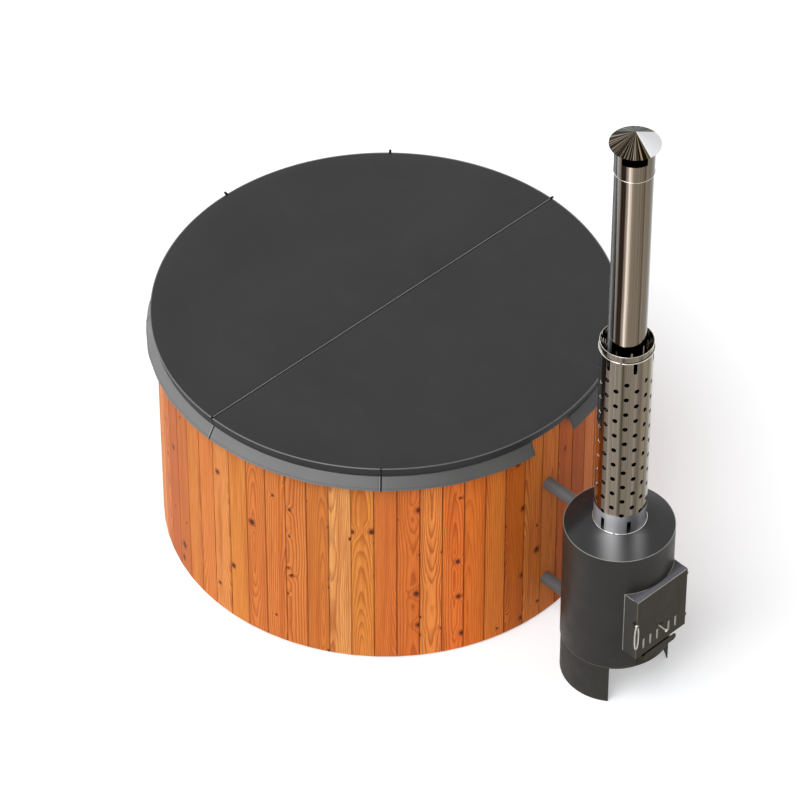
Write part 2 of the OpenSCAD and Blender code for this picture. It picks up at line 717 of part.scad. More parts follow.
// Inner plate: closes the pan and lets the air through a row of holes
module door_liner() color(iron) at_stove() difference() {
    block([door_x0 + 7.5, -door_w / 2 + door_sheet + seat_gap, door_z0 + door_sheet + seat_gap],
          [door_x0 + 10, door_w / 2 - door_sheet - seat_gap, door_z1 - door_sheet - seat_gap]);
    for (k = [-2:2]) x_bar(8, door_x0 + 6, door_x0 + 12, throat_z + 22, k * 38, 48);
}

module door_gasket() color("#8c8678") at_stove() difference() {
    block([door_x0 + seat_gap, -door_w / 2 + 6, door_z0 + 6],
          [door_x0 + 7.4, door_w / 2 - 6, door_z1 - 6]);
    block([door_x0 - eps, -door_w / 2 + 18, door_z0 + 18],
          [door_x0 + 8, door_w / 2 - 18, door_z1 - 18]);
}

// Strips above and below the slide, behind the door's sheet
module damper_rails() color(door_paint) at_stove()
    for (z = [damper_z0 - run_gap - 6, damper_z1 + run_gap])
        block([damper_x - 1, -door_w / 2 + 8, z],
              [door_x1 - door_sheet - seat_gap, door_w / 2 - 8, z + 6]);

module damper_slide() color(steel) at_stove() difference() {
    block([damper_x, slot_ys[0] - damper_travel - damper_edge, damper_z0],
          [damper_x + damper_t, slot_ys[4] + damper_edge, damper_z1]);
    for (y = slot_ys) air_slot(y - damper_travel, damper_x - eps, damper_x + damper_t + eps);
    x_bar(stem_r + pin_gap, damper_x - eps, damper_x + 3, knob_z, knob_y, 48);
}

module damper_knob() color(steel) at_stove() {
    x_bar(stem_r, damper_x, door_x1 + knob_out - 8, knob_z, knob_y, 48);
    translate([door_x1 + knob_out - 8, knob_y, knob_z]) rotate([0, 90, 0])
        rotate_extrude()
            polygon([[0, 0], [knob_r - 2, 0], [knob_r, 3], [knob_r, 7], [knob_r - 2, 9], [0, 9]]);
}

// Lug on the door's side with the stud that the handle turns on
module handle_stud() color(door_paint) at_stove() {
    block([door_x0 + 8, handle_y - 6, handle_z - 7], [door_x1 - 4, -door_w / 2 - seat_gap, handle_z + 7]);
    x_bar(stud_r, door_x1 - 5, handle_x + 6, handle_z, handle_y, 48);
    x_bar(stud_r + 2, handle_x + 6, handle_x + 8, handle_z, handle_y, 48);
}

// Long loop of bent rod that hangs from its boss
module door_handle() color(steel) at_stove() translate([handle_x, handle_y, handle_z]) {
    bend = loop_w / 2 - loop_r;
    difference() {
        x_bar(boss_r, -5, 5.7, 0, 0, 48);
        x_bar(stud_r + pin_gap, -6, 7, 0, 0, 48);
    }
    difference() {
        rotate([0, 90, 0]) {
            for (s = [-1, 1]) translate([bend + 2, s * bend, 0]) rotate([0, 90, 0])
                cylinder(r = loop_r, h = loop_h - 2 * bend - 4, $fn = 32);
            translate([bend + 2, 0, 0]) rotate(90) rotate_extrude(angle = 180)
                translate([bend, 0]) circle(r = loop_r, $fn = 32);
            translate([loop_h - bend - 2, 0, 0]) rotate(-90) rotate_extrude(angle = 180)
                translate([bend, 0]) circle(r = loop_r, $fn = 32);
        }
        x_bar(boss_r - 1, -6, 7, 0, 0, 48);
    }
}

// ---- Ash drawer ----
module ash_tray() color(iron) at_stove() intersection() {
    difference() {
        block([casing_r - ash_l, -ash_in_w / 2 + run_gap, ash_z + run_gap],
              [casing_r, ash_in_w / 2 - run_gap, ash_z + ash_in_h - 2]);
        block([casing_r - ash_l + 2, -ash_in_w / 2 + run_gap + 2, ash_z + run_gap + 2],
              [casing_r - 8, ash_in_w / 2 - run_gap - 2, ash_z + ash_in_h]);
    }
    cylinder(r = ash_front_r - seat_gap, h = casing_top, $fn = 180);
}

// Curved front plate with a straight pull lip that has round ends
module ash_front() color(door_paint) at_stove() {
    a = asin(ash_w / 2 / ash_front_r);
    difference() {
        union() {
            rotate(-a) rotate_extrude(angle = 2 * a, $fn = 180)
                translate([ash_front_r, ash_front_z]) square([ash_front_t, ash_h]);
            block([0, -lip_w / 2 + lip_corner, lip_z - lip_t], [lip_x - 1, lip_w / 2 - lip_corner, lip_z]);
        }
        cylinder(r = ash_front_r, h = casing_top, $fn = 180);
    }
    for (y = [-1, 1]) for (z = [lip_corner, lip_h - lip_corner])
        x_bar(lip_corner, lip_x - lip_t, lip_x, lip_z - lip_t + z, y * (lip_w / 2 - lip_corner), 48);
    block([lip_x - lip_t, -lip_w / 2 + lip_corner, lip_z - lip_t],
          [lip_x, lip_w / 2 - lip_corner, lip_z - lip_t + lip_h]);
    for (y = [-lip_w / 2, lip_w / 2 - lip_corner])
        block([lip_x - lip_t, y, lip_z - lip_t + lip_corner],
              [lip_x, y + lip_corner, lip_z - lip_t + lip_h - lip_corner]);
}

// ---- Chimney ----
module flue_pipe() color(steel) at_stove() ring(flue_r, flue_in, flue_z, flue_top);

// Flat bars that hold the heat shield off the flue
module shield_spacers() color(steel) at_stove()
    for (z = [shield_z0 + 70, shield_z1 - 110]) for (a = [0:120:240]) rotate(a + 15)
        block([flue_r + seat_gap, -spacer_w / 2, z],
              [sqrt(pow(shield_in - seat_gap, 2) - pow(spacer_w / 2, 2)), spacer_w / 2, z + 2]);

// Perforated tube: staggered columns of round holes, and a row of slots at each end
module heat_shield() color(steel) at_stove() difference() {
    ring(shield_r, shield_in, shield_z0, shield_z1);
    for (c = [0:hole_columns - 1]) rotate(column_turn + c * 360 / hole_columns)
        for (i = [0:holes_a - 1 - c % 2])
            x_bar(hole_d / 2, shield_r - 12, shield_r + 4,
                  shield_z0 + first_hole + (i + (c % 2) / 2) * hole_pitch, 0, 32);
    for (k = [0:5]) rotate(slot_turn + k * 60) for (z = slot_zs) {
        for (e = [shield_slot_w / 2, shield_slot_h - shield_slot_w / 2])
            x_bar(shield_slot_w / 2, shield_r - 12, shield_r + 4, z + e, 0, 32);
        block([shield_r - 12, -shield_slot_w / 2, z + shield_slot_w / 2],
              [shield_r + 4, shield_slot_w / 2, z + shield_slot_h - shield_slot_w / 2]);
    }
}

// Split wire rings round the heat shield: one at its foot, one below its top
module shield_rings() color(steel) at_stove()
    for (z = ring_zs) translate([0, 0, z])
        rotate(cap_turn - 12 + ring_split / 2) rotate_extrude(angle = 360 - ring_split, $fn = 180)
            translate([shield_r + ring_wire + pin_gap, 0]) circle(r = ring_wire, $fn = 24);

module cap_sleeve() color(steel) at_stove() difference() {
    ring(sleeve_r, sleeve_in, sleeve_z0, cone_z + cone_h * (1 - 2 * sleeve_r / cone_d) - 2 * cone_t);
    for (k = [0:2]) rotate(cap_turn - window_a / 2 + k * 120) rotate_extrude(angle = window_a)
        translate([sleeve_in - 5, window_z0]) square([20, window_z1 - window_z0]);
}
module cap_cone() color(steel) at_stove() rotate_extrude($fn = 180)
    polygon([[0, cone_z + cone_h], [cone_d / 2, cone_z], [cone_d / 2, cone_z - cone_t],
             [cone_d / 2 - cone_t, cone_z - cone_t], [0, cone_z + cone_h - cone_t * 1.2]]);

// ---- Cover ----
// Keeps the half on one side of the fold: side 1 is the stove's, -1 the far one
module half_only(side, gap) intersection() {
    children();
    scale([side, 1, 1]) block([gap, -2 * tub_r, 0], [2 * tub_r, 2 * tub_r, 2 * wall_h]);
}
module fold_groove() rotate([90, 0, 0]) translate([0, 0, -cover_r - eps])
    linear_extrude(2 * cover_r + 2 * eps)
        polygon([[-fold_notch, cover_z1 + eps], [-fold_notch, cover_z1], [-fold_half, cover_z1 - fold_notch],
                 [fold_half, cover_z1 - fold_notch], [fold_notch, cover_z1], [fold_notch, cover_z1 + eps]]);

// Leatherette shell, open below: top, band and the wall at the fold
module cover_jacket(side) difference() {
    half_only(side, fold_half) rotate_extrude($fn = 180) difference() {
        polygon([[0, cover_z1], [cover_r, cover_z1], [band_r, cover_z0], [0, cover_z0]]);
        translate([cover_r - piping_r, cover_z1 - piping_r]) {
            circle(r = piping_r + seat_gap, $fn = 32);
            square(piping_r + eps);
        }
    }
    half_only(side, fold_notch + skin_t) rotate_extrude($fn = 180)
        polygon([[0, cover_z1 - skin_t], [cover_r - 2 * piping_r - skin_t, cover_z1 - skin_t],
                 [band_r - skin_t, cover_z0 - eps], [0, cover_z0 - eps]]);
    fold_groove();
}
module cover_core(side) half_only(side, fold_notch + skin_t + seat_gap) rotate_extrude($fn = 180)
    polygon([[0, cover_z1 - skin_t - seat_gap],
             [cover_r - 2 * piping_r - skin_t - 2 * seat_gap, cover_z1 - skin_t - seat_gap],
             [band_r - skin_t - 2 * seat_gap, cover_z0 + lining_t + seat_gap],
             [0, cover_z0 + lining_t + seat_gap]]);
module cover_lining(side) half_only(side, fold_notch + skin_t + seat_gap)
    translate([0, 0, cover_z0]) cylinder(r = band_r - skin_t - 2 * seat_gap, h = lining_t, $fn = 180);

// Flared panels between radial seams, with a raised bead along each seam
function seam_deg(r) = asin(seam_half / r);
module skirt_panel(a0, a1) rotate(a0) rotate_extrude(angle = a1 - a0, $fn = 180)
    polygon([[band_r - skin_t, cover_z0 - run_gap], [skirt_r, cover_z0 - run_gap],
             [skirt_r + skirt_out, cover_z0 - skirt_drop],
             [skirt_r + skirt_out - skirt_t, cover_z0 - skirt_drop],
             [band_r - skirt_t, cover_z0 - 2 * skirt_t]]);
module seam_bead(a) {
    lean = atan2(skirt_out, skirt_drop);
    rotate(a) translate([skirt_r - skin_t / 2, 0, cover_z0 - 2.5]) rotate([0, 180 - lean, 0])
        cylinder(r = seam_r, h = skirt_drop / cos(lean) - 2, $fn = 24);
}
module cover_skirt(side) {
    d = seam_deg(skirt_r);
    turn = side > 0 ? 0 : 180;
    mouth = side > 0 ? asin(skirt_mouth / 2 / skirt_r) : d;
    for (s = [-1, 1]) {
        skirt_panel(turn + min(s * (panel_a + d), s * (2 * panel_a - d)),
                    turn + max(s * (panel_a + d), s * (2 * panel_a - d)));
        skirt_panel(turn + min(s * mouth, s * (panel_a - d)), turn + max(s * mouth, s * (panel_a - d)));
        seam_bead(turn + s * panel_a);
    }
    if (side < 0) seam_bead(turn);
}
module cover_piping(side) rotate(side > 0 ? -90 + 0.1 : 90 + 0.1) rotate_extrude(angle = 179.8, $fn = 180)
    translate([cover_r - piping_r, cover_z1 - piping_r]) circle(r = piping_r, $fn = 32);

module stove_side_jacket() color(leatherette) cover_jacket(1);
module stove_side_core() color(foam) cover_core(1);
module stove_side_lining() color(plastic) cover_lining(1);
module stove_side_skirt() color(skirt_grey) cover_skirt(1);
module stove_side_piping() color(piping_grey) cover_piping(1);
module far_side_jacket() color(leatherette) cover_jacket(-1);
module far_side_core() color(foam) cover_core(-1);
module far_side_lining() color(plastic) cover_lining(-1);
module far_side_skirt() color(skirt_grey) cover_skirt(-1);
module far_side_piping() color(piping_grey) cover_piping(-1);
// Piping along the fold, on the hinge line
module fold_piping() color(piping_grey) rotate([90, 0, 0])
    translate([0, cover_z1, -fold_end]) cylinder(r = fold_rod, h = 2 * fold_end, $fn = 32);

ground_bearers();
floor_deck();
floor_foam();
stave_rings();
wall_insulation();
wall_staves();
pipe_stave();
liner();
hot_fitting();
cold_fitting();
fitting_nuts();
inlet_cap();
suction_cap();
hot_pipe();
cold_pipe();
drain_grate();
drain_pipe();
drain_valve();
drain_outlet();
drain_ball();
drain_lever();
stove_base();
support_ring();
stove_casing();
stove_lid();
water_jacket();
fire_grate();
door_collar();
door_hinge_pins();
flue_pipe();
shield_spacers();
heat_shield();
shield_rings();
cap_sleeve();
cap_cone();
door_pan();
door_barrels();
door_liner();
door_gasket();
damper_rails();
damper_slide();
damper_knob();
handle_stud();
door_handle();
ash_tray();
ash_front();
stove_side_jacket();
stove_side_core();
stove_side_lining();
stove_side_skirt();
stove_side_piping();
fold_piping();
far_side_jacket();
far_side_core();
far_side_lining();
far_side_skirt();
far_side_piping();
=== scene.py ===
from functools import partialmethod
from math import asin, cos, dist, pi, radians, sin, tau

import bpy
import numpy as np
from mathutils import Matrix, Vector


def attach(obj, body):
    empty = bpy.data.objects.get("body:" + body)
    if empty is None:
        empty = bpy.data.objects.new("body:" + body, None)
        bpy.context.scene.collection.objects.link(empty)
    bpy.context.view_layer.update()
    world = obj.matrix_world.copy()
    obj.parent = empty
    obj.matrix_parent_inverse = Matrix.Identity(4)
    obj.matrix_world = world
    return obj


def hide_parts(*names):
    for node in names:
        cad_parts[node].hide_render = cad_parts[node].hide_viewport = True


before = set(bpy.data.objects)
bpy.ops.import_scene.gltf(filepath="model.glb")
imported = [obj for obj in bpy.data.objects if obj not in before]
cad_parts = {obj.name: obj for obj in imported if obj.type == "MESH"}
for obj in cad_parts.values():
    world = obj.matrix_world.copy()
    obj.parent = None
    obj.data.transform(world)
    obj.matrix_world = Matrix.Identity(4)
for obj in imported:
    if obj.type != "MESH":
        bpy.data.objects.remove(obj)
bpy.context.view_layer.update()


# ---- Ground bearers, floor deck and stave rings ----
# Pressure-treated softwood, sawn and not planed. The deck is screwed to five bearers, and two
# laminated rings hang on the staves' inner faces and keep them round.
def tint(value):
    """A colour as the linear values that a shader takes, from #rrggbb or from one value of grey."""
    if isinstance(value, str):
        parts = [int(value[i:i + 2], 16) / 255 for i in (1, 3, 5)]
        return (*[c / 12.92 if c < 0.04045 else ((c + 0.055) / 1.055) ** 2.4 for c in parts], 1.0)
    return (value, value, value, 1.0) if isinstance(value, float) else value


class Nodes:
    """A tree of shader nodes, with short names for the sums that the patterns are made of."""

    def __init__(self, tree):
        self.tree = tree

    def join(self, socket, value):
        """Links a node's output to the socket, or sets the socket to a number, a vector or a colour."""
        if isinstance(value, bpy.types.NodeSocket):
            self.tree.links.new(value, socket)
        else:
            socket.default_value = tint(value) if isinstance(value, str) else value

    def node(self, kind, inputs=(), **settings):
        made = self.tree.nodes.new("ShaderNode" + kind)
        for key, value in settings.items():
            setattr(made, key, value)
        for key, value in dict(inputs).items():
            self.join(made.inputs[key], value)
        return made

    def calc(self, operation, *values, clamp=False):
        return self.node("Math", enumerate(values), operation=operation, use_clamp=clamp).outputs[0]

    plus, minus = partialmethod(calc, "ADD"), partialmethod(calc, "SUBTRACT")
    times, over = partialmethod(calc, "MULTIPLY"), partialmethod(calc, "DIVIDE")
    larger, under = partialmethod(calc, "MAXIMUM"), partialmethod(calc, "LESS_THAN")
    line = partialmethod(calc, "MULTIPLY_ADD")      # a value times a slope, plus a start

    def swing(self, value, size):
        """A value of 0..1 carried to -size / 2..size / 2."""
        return self.times(self.minus(value, 0.5), size)

    def length(self, x, y):
        """The square root of x squared plus y squared."""
        return self.calc("SQRT", self.line(x, x, self.times(y, y)))

    def hill(self, value, middle, width):
        """1 at the middle, falling off as the bell curve exp(-((value - middle) / width) squared)."""
        off = self.over(self.minus(value, middle), width)
        return self.calc("EXPONENT", self.times(self.times(off, off), -1.0))

    def span(self, value, low, high, to_low=0.0, to_high=1.0):
        """value carried from low..high to to_low..to_high, and held at the ends."""
        return self.node("MapRange", enumerate((value, low, high, to_low, to_high))).outputs[0]


class Finish(Nodes):
    """A material. Every pattern in it is worked out from the piece's own coordinates."""

    def __init__(self, name, **sockets):
        self.material = bpy.data.materials.new(name)
        self.material.use_nodes = True
        super().__init__(self.material.node_tree)
        self.shader = self.tree.nodes["Principled BSDF"]
        self.place = self.node("TexCoord").outputs["Object"]
        self.set(**sockets)

    def set(self, **sockets):
        """Sets or links the shader's sockets: Base_Color, Roughness, Metallic and so on."""
        for key, value in sockets.items():
            self.join(self.shader.inputs[key.replace("_", " ")], value)

    def split(self, vector):
        return self.node("SeparateXYZ", {0: vector}).outputs

    def point(self, x, y, z):
        return self.node("CombineXYZ", enumerate((x, y, z))).outputs[0]

    def stretched(self, x, y, z, at=None):
        return self.node("Mapping", {"Vector": at or self.place, "Scale": (x, y, z)}).outputs[0]

    def noise(self, at, scale, detail, rough=0.5):
        inputs = {"Vector": at, "Scale": scale, "Detail": detail, "Roughness": rough}
        return self.node("TexNoise", inputs).outputs[0]

    def cells(self, scale, loose=1.0):
        """The distance to the nearest of many scattered points."""
        inputs = {"Vector": self.place, "Scale": scale, "Randomness": loose}
        return self.node("TexVoronoi", inputs).outputs["Distance"]

    def blend(self, share, first, second, way="MIX"):
        inputs = {0: share, 6: first, 7: second}
        return self.node("Mix", inputs, data_type="RGBA", blend_type=way).outputs[2]

    def ramp(self, value, *stops):
        """Colours along 0..1: each stop is (place, colour)."""
        made = self.node("ValToRGB", {0: value})
        marks = made.color_ramp.elements
        while len(marks) < len(stops):
            marks.new(0.5)
        for mark, (at, colour) in zip(marks, stops):
            mark.position, mark.color = at, tint(colour)
        return made.outputs[0]

    def bump(self, height, depth, strength):
        inputs = {"Height": height, "Distance": depth, "Strength": strength}
        self.set(Normal=self.node("Bump", inputs).outputs[0])


def dress(finish, *nodes):
    """Puts a finish on CAD nodes, in place of the plain one."""
    for name in nodes:
        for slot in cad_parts[name].material_slots:
            slot.material = finish.material


f = Finish("treated_timber", Roughness=0.75)
fibre = f.noise(f.stretched(2, 60, 60), 3, 5, 0.6)
f.set(Base_Color=f.ramp(fibre, (0.3, "#6f6a43"), (0.55, "#96905f"), (0.75, "#aaa374")))
f.bump(fibre, 0.0015, 0.6)
dress(f, "ground_bearers", "floor_deck", "stave_rings")


# ---- Foam in the wall and under the liner's floor ----
# Closed-cell foam sheets, cut to shape and pressed in between the rings and under the floor.
# The cut cells leave their faces slightly rough.
f = Finish("closed_cell_foam", Roughness=0.9)
f.set(Base_Color=f.blend(f.noise(f.place, 9, 3), "#cfc9b4", "#e4dfcf"))
f.bump(f.cells(420.0), 0.0008, 0.7)
dress(f, "wall_insulation", "floor_foam")


# ---- Stave wall ----
# Sixty-four larch-like softwood boards, planed, bevelled along their outer edges and oiled.
# They stand edge to edge round the liner, and one of them is bored for the stove's two pipes.
STAVES = 64
FIRST_STAVE_DEG = 1.0
STAVE_WIDTH = 0.0884
PATCH_ACROSS, PATCH_ALONG = 11.0, 7.7      # patches of knots in a metre: 90 by 130 mm
KNOT_SMALL, KNOT_MORE = 0.0038, 0.0072
RING_CLOSE, RING_MORE = 0.0062, 0.004


def oiled_boards():
    """Growth rings cut by each board's face. A ring's radius is a point's distance from the tree's pith, which
    lies at its own place and slant behind each board, so that flat cuts show pointed arches and the others
    straight lines. Each knot adds a hump to that distance, and the rings flow round it."""
    f = Finish("oiled_softwood")
    x, y, z = f.split(f.place)
    count = f.line(f.calc("ARCTAN2", y, x), STAVES / tau, 0.5 - FIRST_STAVE_DEG * STAVES / 360)
    board = f.calc("FLOOR", count)
    across = f.swing(f.minus(count, board), STAVE_WIDTH)
    draw_a, draw_b = [f.split(f.node("TexWhiteNoise", {"W": seed}, noise_dimensions="1D").outputs["Color"])
                      for seed in (board, f.line(board, 1.7, 31.3))]
    place = f.point(f.line(board, 0.731, across), f.times(board, 3.17), z)

    # knots: one chance in each patch
    at = f.stretched(PATCH_ACROSS, 1.0, PATCH_ALONG, at=place)
    patch = f.node("TexVoronoi", {"Vector": at, "Scale": 1.0})
    away = f.node("VectorMath", {0: at, 1: patch.outputs["Position"]}, operation="SUBTRACT").outputs[0]
    away, chance = f.split(away), f.split(patch.outputs["Color"])
    ragged = f.swing(f.noise(place, 260, 2), 0.004)
    far = f.plus(f.length(f.over(away[0], PATCH_ACROSS), f.over(away[2], 9.5)), ragged)
    here = f.under(chance[0], f.line(f.times(draw_b[1], draw_b[1]), 0.62, 0.04))
    size = f.line(f.times(chance[1], chance[1]), KNOT_MORE, KNOT_SMALL)
    reach = f.over(far, size)
    hump = f.times(f.times(f.hill(reach, 0.0, 3.1), here), f.times(size, 2.4))

    # rings
    pith = f.swing(draw_a[0], 0.13)
    slant = f.times(f.minus(z, 0.5), f.swing(draw_a[2], 0.2))
    sway = f.swing(f.noise(f.point(0.0, f.times(board, 5.3), z), 2.3, 1), 0.05)
    deep = f.line(draw_a[1], 0.05, f.plus(slant, sway))
    waves = f.noise(f.stretched(30.0, 1.0, 5.0, at=place), 1.0, 3)
    radius = f.plus(f.line(waves, 0.007, f.length(f.minus(across, pith), deep)), hump)
    rings = f.over(radius, f.line(draw_b[0], RING_MORE, RING_CLOSE))
    late = f.ramp(f.calc("FRACT", rings), (0.0, 0.0), (0.4, 0.08), (0.72, 0.7), (0.86, 1.0), (1.0, 0.0))
    fine = f.noise(f.stretched(420.0, 1.0, 9.0, at=place), 1.0, 3, 0.6)
    broad = f.noise(f.stretched(34.0, 1.0, 1.4, at=place), 1.0, 3)

    # colours
    strong = f.times(f.span(draw_b[1], 0.0, 1.0, 0.42, 0.9), f.span(broad, 0.35, 0.65, 0.65, 1.0))
    light = f.ramp(draw_b[2], (0.0, "#dd7c3c"), (0.25, "#ef964e"), (0.5, "#f7ae66"), (0.75, "#ef9a48"),
                   (1.0, "#cb6e36"))
    dark = f.ramp(draw_a[0], (0.0, "#7f2d0a"), (1.0, "#963f14"))
    wood = f.blend(f.times(late, strong), light, dark)
    for share, tone in ((f.span(broad, 0.48, 0.72, 0.0, 0.6), "#c0602a"),
                        (f.span(fine, 0.42, 0.7, 0.0, 0.42), "#a95018"),
                        (f.times(f.times(f.span(reach, 2.3, 1.1), here), 0.75), "#8a4320"),
                        (f.times(f.times(f.span(reach, 1.15, 0.75), here), 0.9), "#4e2718")):
        wood = f.blend(share, wood, tone)
    # painted shade: the boards by the stove are darker and redder
    around = f.line(count, 1 / STAVES, 0.5)
    by_stove = (1.0, 0.72, 0.42, 1.0)
    stove_side_shade = f.ramp(around, (0.36, 1.0), (0.4, (1.08, 0.93, 0.8, 1.0)), (0.435, (1.2, 0.82, 0.57, 1.0)),
                    (0.475, by_stove), (0.62, by_stove), (0.85, 1.0))
    wood = f.blend(1.0, wood, stove_side_shade, "MULTIPLY")
    edge = f.span(f.calc("ABSOLUTE", across), 0.0405, 0.0436)
    wood = f.blend(f.times(edge, f.span(around, 0.36, 0.43, 0.5, 0.85)), wood, "#5c2a10")
    f.set(Base_Color=wood, Roughness=f.span(late, 0.0, 1.0, 0.56, 0.46), Specular_IOR_Level=0.1)
    f.bump(f.line(fine, 0.5, f.times(late, -0.4)), 0.0006, 0.5)
    return f


dress(oiled_boards(), "wall_staves", "pipe_stave")


# ---- Liner ----
# One moulded shell of glass fibre with a smooth, glossy gel coat: rim, wall, bench and footwell.
# It stands on the floor foam, and its rim lies over the stave tops.
f = Finish("gel_coat", Roughness=0.16, Coat_Weight=0.5, Coat_Roughness=0.06)
cloud = f.noise(f.place, 3.5, 4, 0.6)
f.set(Base_Color=f.blend(cloud, "#b7bfc4", "#c9cfd3"))
f.bump(f.line(f.cells(260.0), 0.05, cloud), 0.0016, 0.3)
dress(f, "liner")


# ---- Wall fittings, slotted caps and connecting pipes ----
# Moulded black fittings clamp the liner between a flange and a nut. Dark grey pipes are pushed
# into their sockets at one end and into the water jacket's at the other.
f = Finish("moulded_black_plastic")
grain = f.noise(f.place, 900, 2)
f.set(Base_Color=f.blend(f.noise(f.place, 40, 3), "#26292b", "#33373a"),
      Roughness=f.span(grain, 0.3, 0.7, 0.36, 0.52))
f.bump(grain, 0.0002, 0.5)
dress(f, "hot_fitting", "cold_fitting", "fitting_nuts", "inlet_cap", "suction_cap", "drain_grate")

f = Finish("extruded_grey_pipe", Specular_IOR_Level=0.4)
drawn = f.noise(f.stretched(3, 160, 160), 1, 4, 0.6)
scuff = f.noise(f.place, 55, 5, 0.7)
f.set(Base_Color=f.ramp(drawn, (0.3, "#515254"), (0.6, "#5c5d5e"), (0.8, "#676768")),
      Roughness=f.span(scuff, 0.35, 0.7, 0.34, 0.58))
f.bump(f.line(scuff, 0.4, drawn), 0.0004, 0.4)
dress(f, "hot_pipe", "cold_pipe", "drain_pipe")


# ---- Drain valve ----
# A turned brass ball valve with a steel ball on a brass stem, a hose tail, and a pressed
# steel lever dipped in red plastic.
f = Finish("turned_brass", Metallic=1.0)
tarnish = f.noise(f.place, 45, 5, 0.65)
f.set(Base_Color=f.blend(f.span(tarnish, 0.4, 0.7), "#c9a662", "#8d6c37"),
      Roughness=f.span(tarnish, 0.3, 0.7, 0.2, 0.42))
f.bump(f.noise(f.stretched(900, 60, 60), 1, 3), 0.0002, 0.4)
dress(f, "drain_valve", "drain_outlet")

f = Finish("red_dipped_lever", Coat_Weight=0.3)
rub = f.noise(f.place, 120, 4, 0.7)
f.set(Base_Color=f.blend(f.span(rub, 0.5, 0.75), "#9c201b", "#6f1a18"),
      Roughness=f.span(rub, 0.3, 0.7, 0.3, 0.5))
f.bump(rub, 0.0004, 0.4)
dress(f, "drain_lever")


# ---- Stove base, casing and lid ----
# Rolled steel sheet, sprayed with heat-resistant paint. The casing stands on a C-shaped base
# shell, and a shallow domed lid lies inside its rolled rim.
STOVE_X = 1.285
CASING_FOOT, CASING_TOP = 0.190, 0.772
FRONT = radians(46)      # the side of the lid that faces the picture's viewer


def stove_paint(name, low, high, rough_low, rough_high, gloss, spray=900):
    """Sprayed paint: slow changes of tone, fine orange peel, and dull and bright patches."""
    f = Finish(name, Specular_IOR_Level=gloss)
    f.patch = f.noise(f.place, 17, 5, 0.65)
    f.coat = f.blend(f.span(f.noise(f.place, 4.5, 4, 0.6), 0.35, 0.65), low, high)
    f.gloss = f.span(f.patch, 0.35, 0.65, rough_low, rough_high)
    f.set(Base_Color=f.coat, Roughness=f.gloss)
    f.bump(f.noise(f.place, spray, 2, 0.6), 0.00025, 0.5)
    return f


def painted_edge_highlight(f, mask, metal):
    """Painted highlight: a pale bare-metal colour, half metallic, where mask is 1, broken up by the paint's
    patches.
    """
    mask = f.calc("MULTIPLY", f.times(mask, 0.85), f.span(f.patch, 0.3, 0.5, 0.55, 1.0), clamp=True)
    f.set(Base_Color=f.blend(mask, f.coat, metal), Metallic=f.times(mask, 0.6),
          Roughness=f.times(f.gloss, f.span(mask, 0.0, 1.0, 1.0, 0.75)))
    return f


def about_stove(f):
    """A point's coordinates from the stove's own axis."""
    return f.split(f.node("Mapping", {"Vector": f.place, "Location": (-STOVE_X, 0.0, 0.0)}).outputs[0])


def casing_paint():
    """A painted highlight line along the rolled rim, and a weaker one along the foot."""
    f = stove_paint("casing_paint", "#2b2a28", "#33312e", 0.36, 0.48, gloss=0.14)
    up = f.split(f.place)[2]
    rim = f.span(up, CASING_TOP - 0.0028, CASING_TOP - 0.0012)
    foot = f.span(up, CASING_FOOT + 0.0022, CASING_FOOT + 0.001)
    return painted_edge_highlight(f, f.larger(rim, f.times(foot, 0.5)), "#9f9e99")


def lid_paint():
    """Two soft pale stripes down the front of the lid are a painted highlight, in place of a reflected light.
    """
    f = stove_paint("lid_paint", "#222223", "#282829", 0.2, 0.27, gloss=0.32, spray=700)
    x, y = about_stove(f)[:2]
    beside = f.line(x, cos(FRONT), f.times(y, sin(FRONT)))
    ahead = f.line(x, sin(FRONT), f.times(y, -cos(FRONT)))
    # painted highlight: two soft pale stripes side by side on the lid's front, from near the shield's foot out
    # to the rim
    painted_highlight = f.line(f.hill(beside, 0.066, 0.028), 0.4, f.hill(beside, -0.038, 0.04))
    painted_highlight = f.times(painted_highlight, f.span(ahead, 0.045, 0.1))
    painted_highlight = f.times(painted_highlight, f.span(ahead, 0.1, 0.21, 1.0, 0.62))
    f.set(Base_Color=f.blend(f.times(painted_highlight, 0.9), f.coat, "#a0a0a2"))
    return f


base_paint = stove_paint("stove_base_paint", "#2f2e2b", "#373532", 0.5, 0.66, gloss=0.15)
dress(base_paint, "stove_base", "support_ring")
dress(casing_paint(), "stove_casing")
dress(lid_paint(), "stove_lid")


# ---- Water jacket, fire grate and ash tray ----
# Welded steel plate, dark with soot and scale, with a cast-iron grate lying on a ledge inside.
# The cast plate that lines the fire door is finished with them.
f = Finish("sooted_plate", Metallic=0.6)
soot = f.noise(f.place, 26, 6, 0.7)
f.set(Base_Color=f.ramp(soot, (0.3, "#1d1b19"), (0.55, "#34302c"), (0.75, "#5a4a3e")),
      Roughness=f.span(soot, 0.3, 0.7, 0.8, 0.5))
f.bump(soot, 0.0008, 0.5)
dress(f, "water_jacket", "ash_tray")

f = Finish("cast_iron", Metallic=0.5, Roughness=0.72)
rust = f.span(f.noise(f.place, 14, 5, 0.65), 0.52, 0.75, 0.0, 0.6)
f.set(Base_Color=f.blend(rust, "#262524", "#5c3a27"))
f.bump(f.noise(f.place, 420, 4, 0.7), 0.0009, 0.7)
dress(f, "fire_grate", "door_liner")


# ---- Fire door collar, hinge pins and door ----
# A folded sheet box round the fire opening, welded to the casing. The door is a sheet pan on two
# pin hinges, closed behind by a cast plate and sealed by a rope; a lug at its side holds a stud.
CASING_R = 0.2155
DOOR_Y, DOOR_Z0, DOOR_Z1, DOOR_X1 = 0.137, 0.294, 0.597, STOVE_X + 0.238
SLOTS_Y, SLOT_Z = (-0.0949, -0.0574, -0.0199, 0.0431, 0.0806), 0.351
ON_FACE = 0.0006      # a point this near to a face is on it


def apart(f, value, middle):
    return f.calc("ABSOLUTE", f.minus(value, middle))


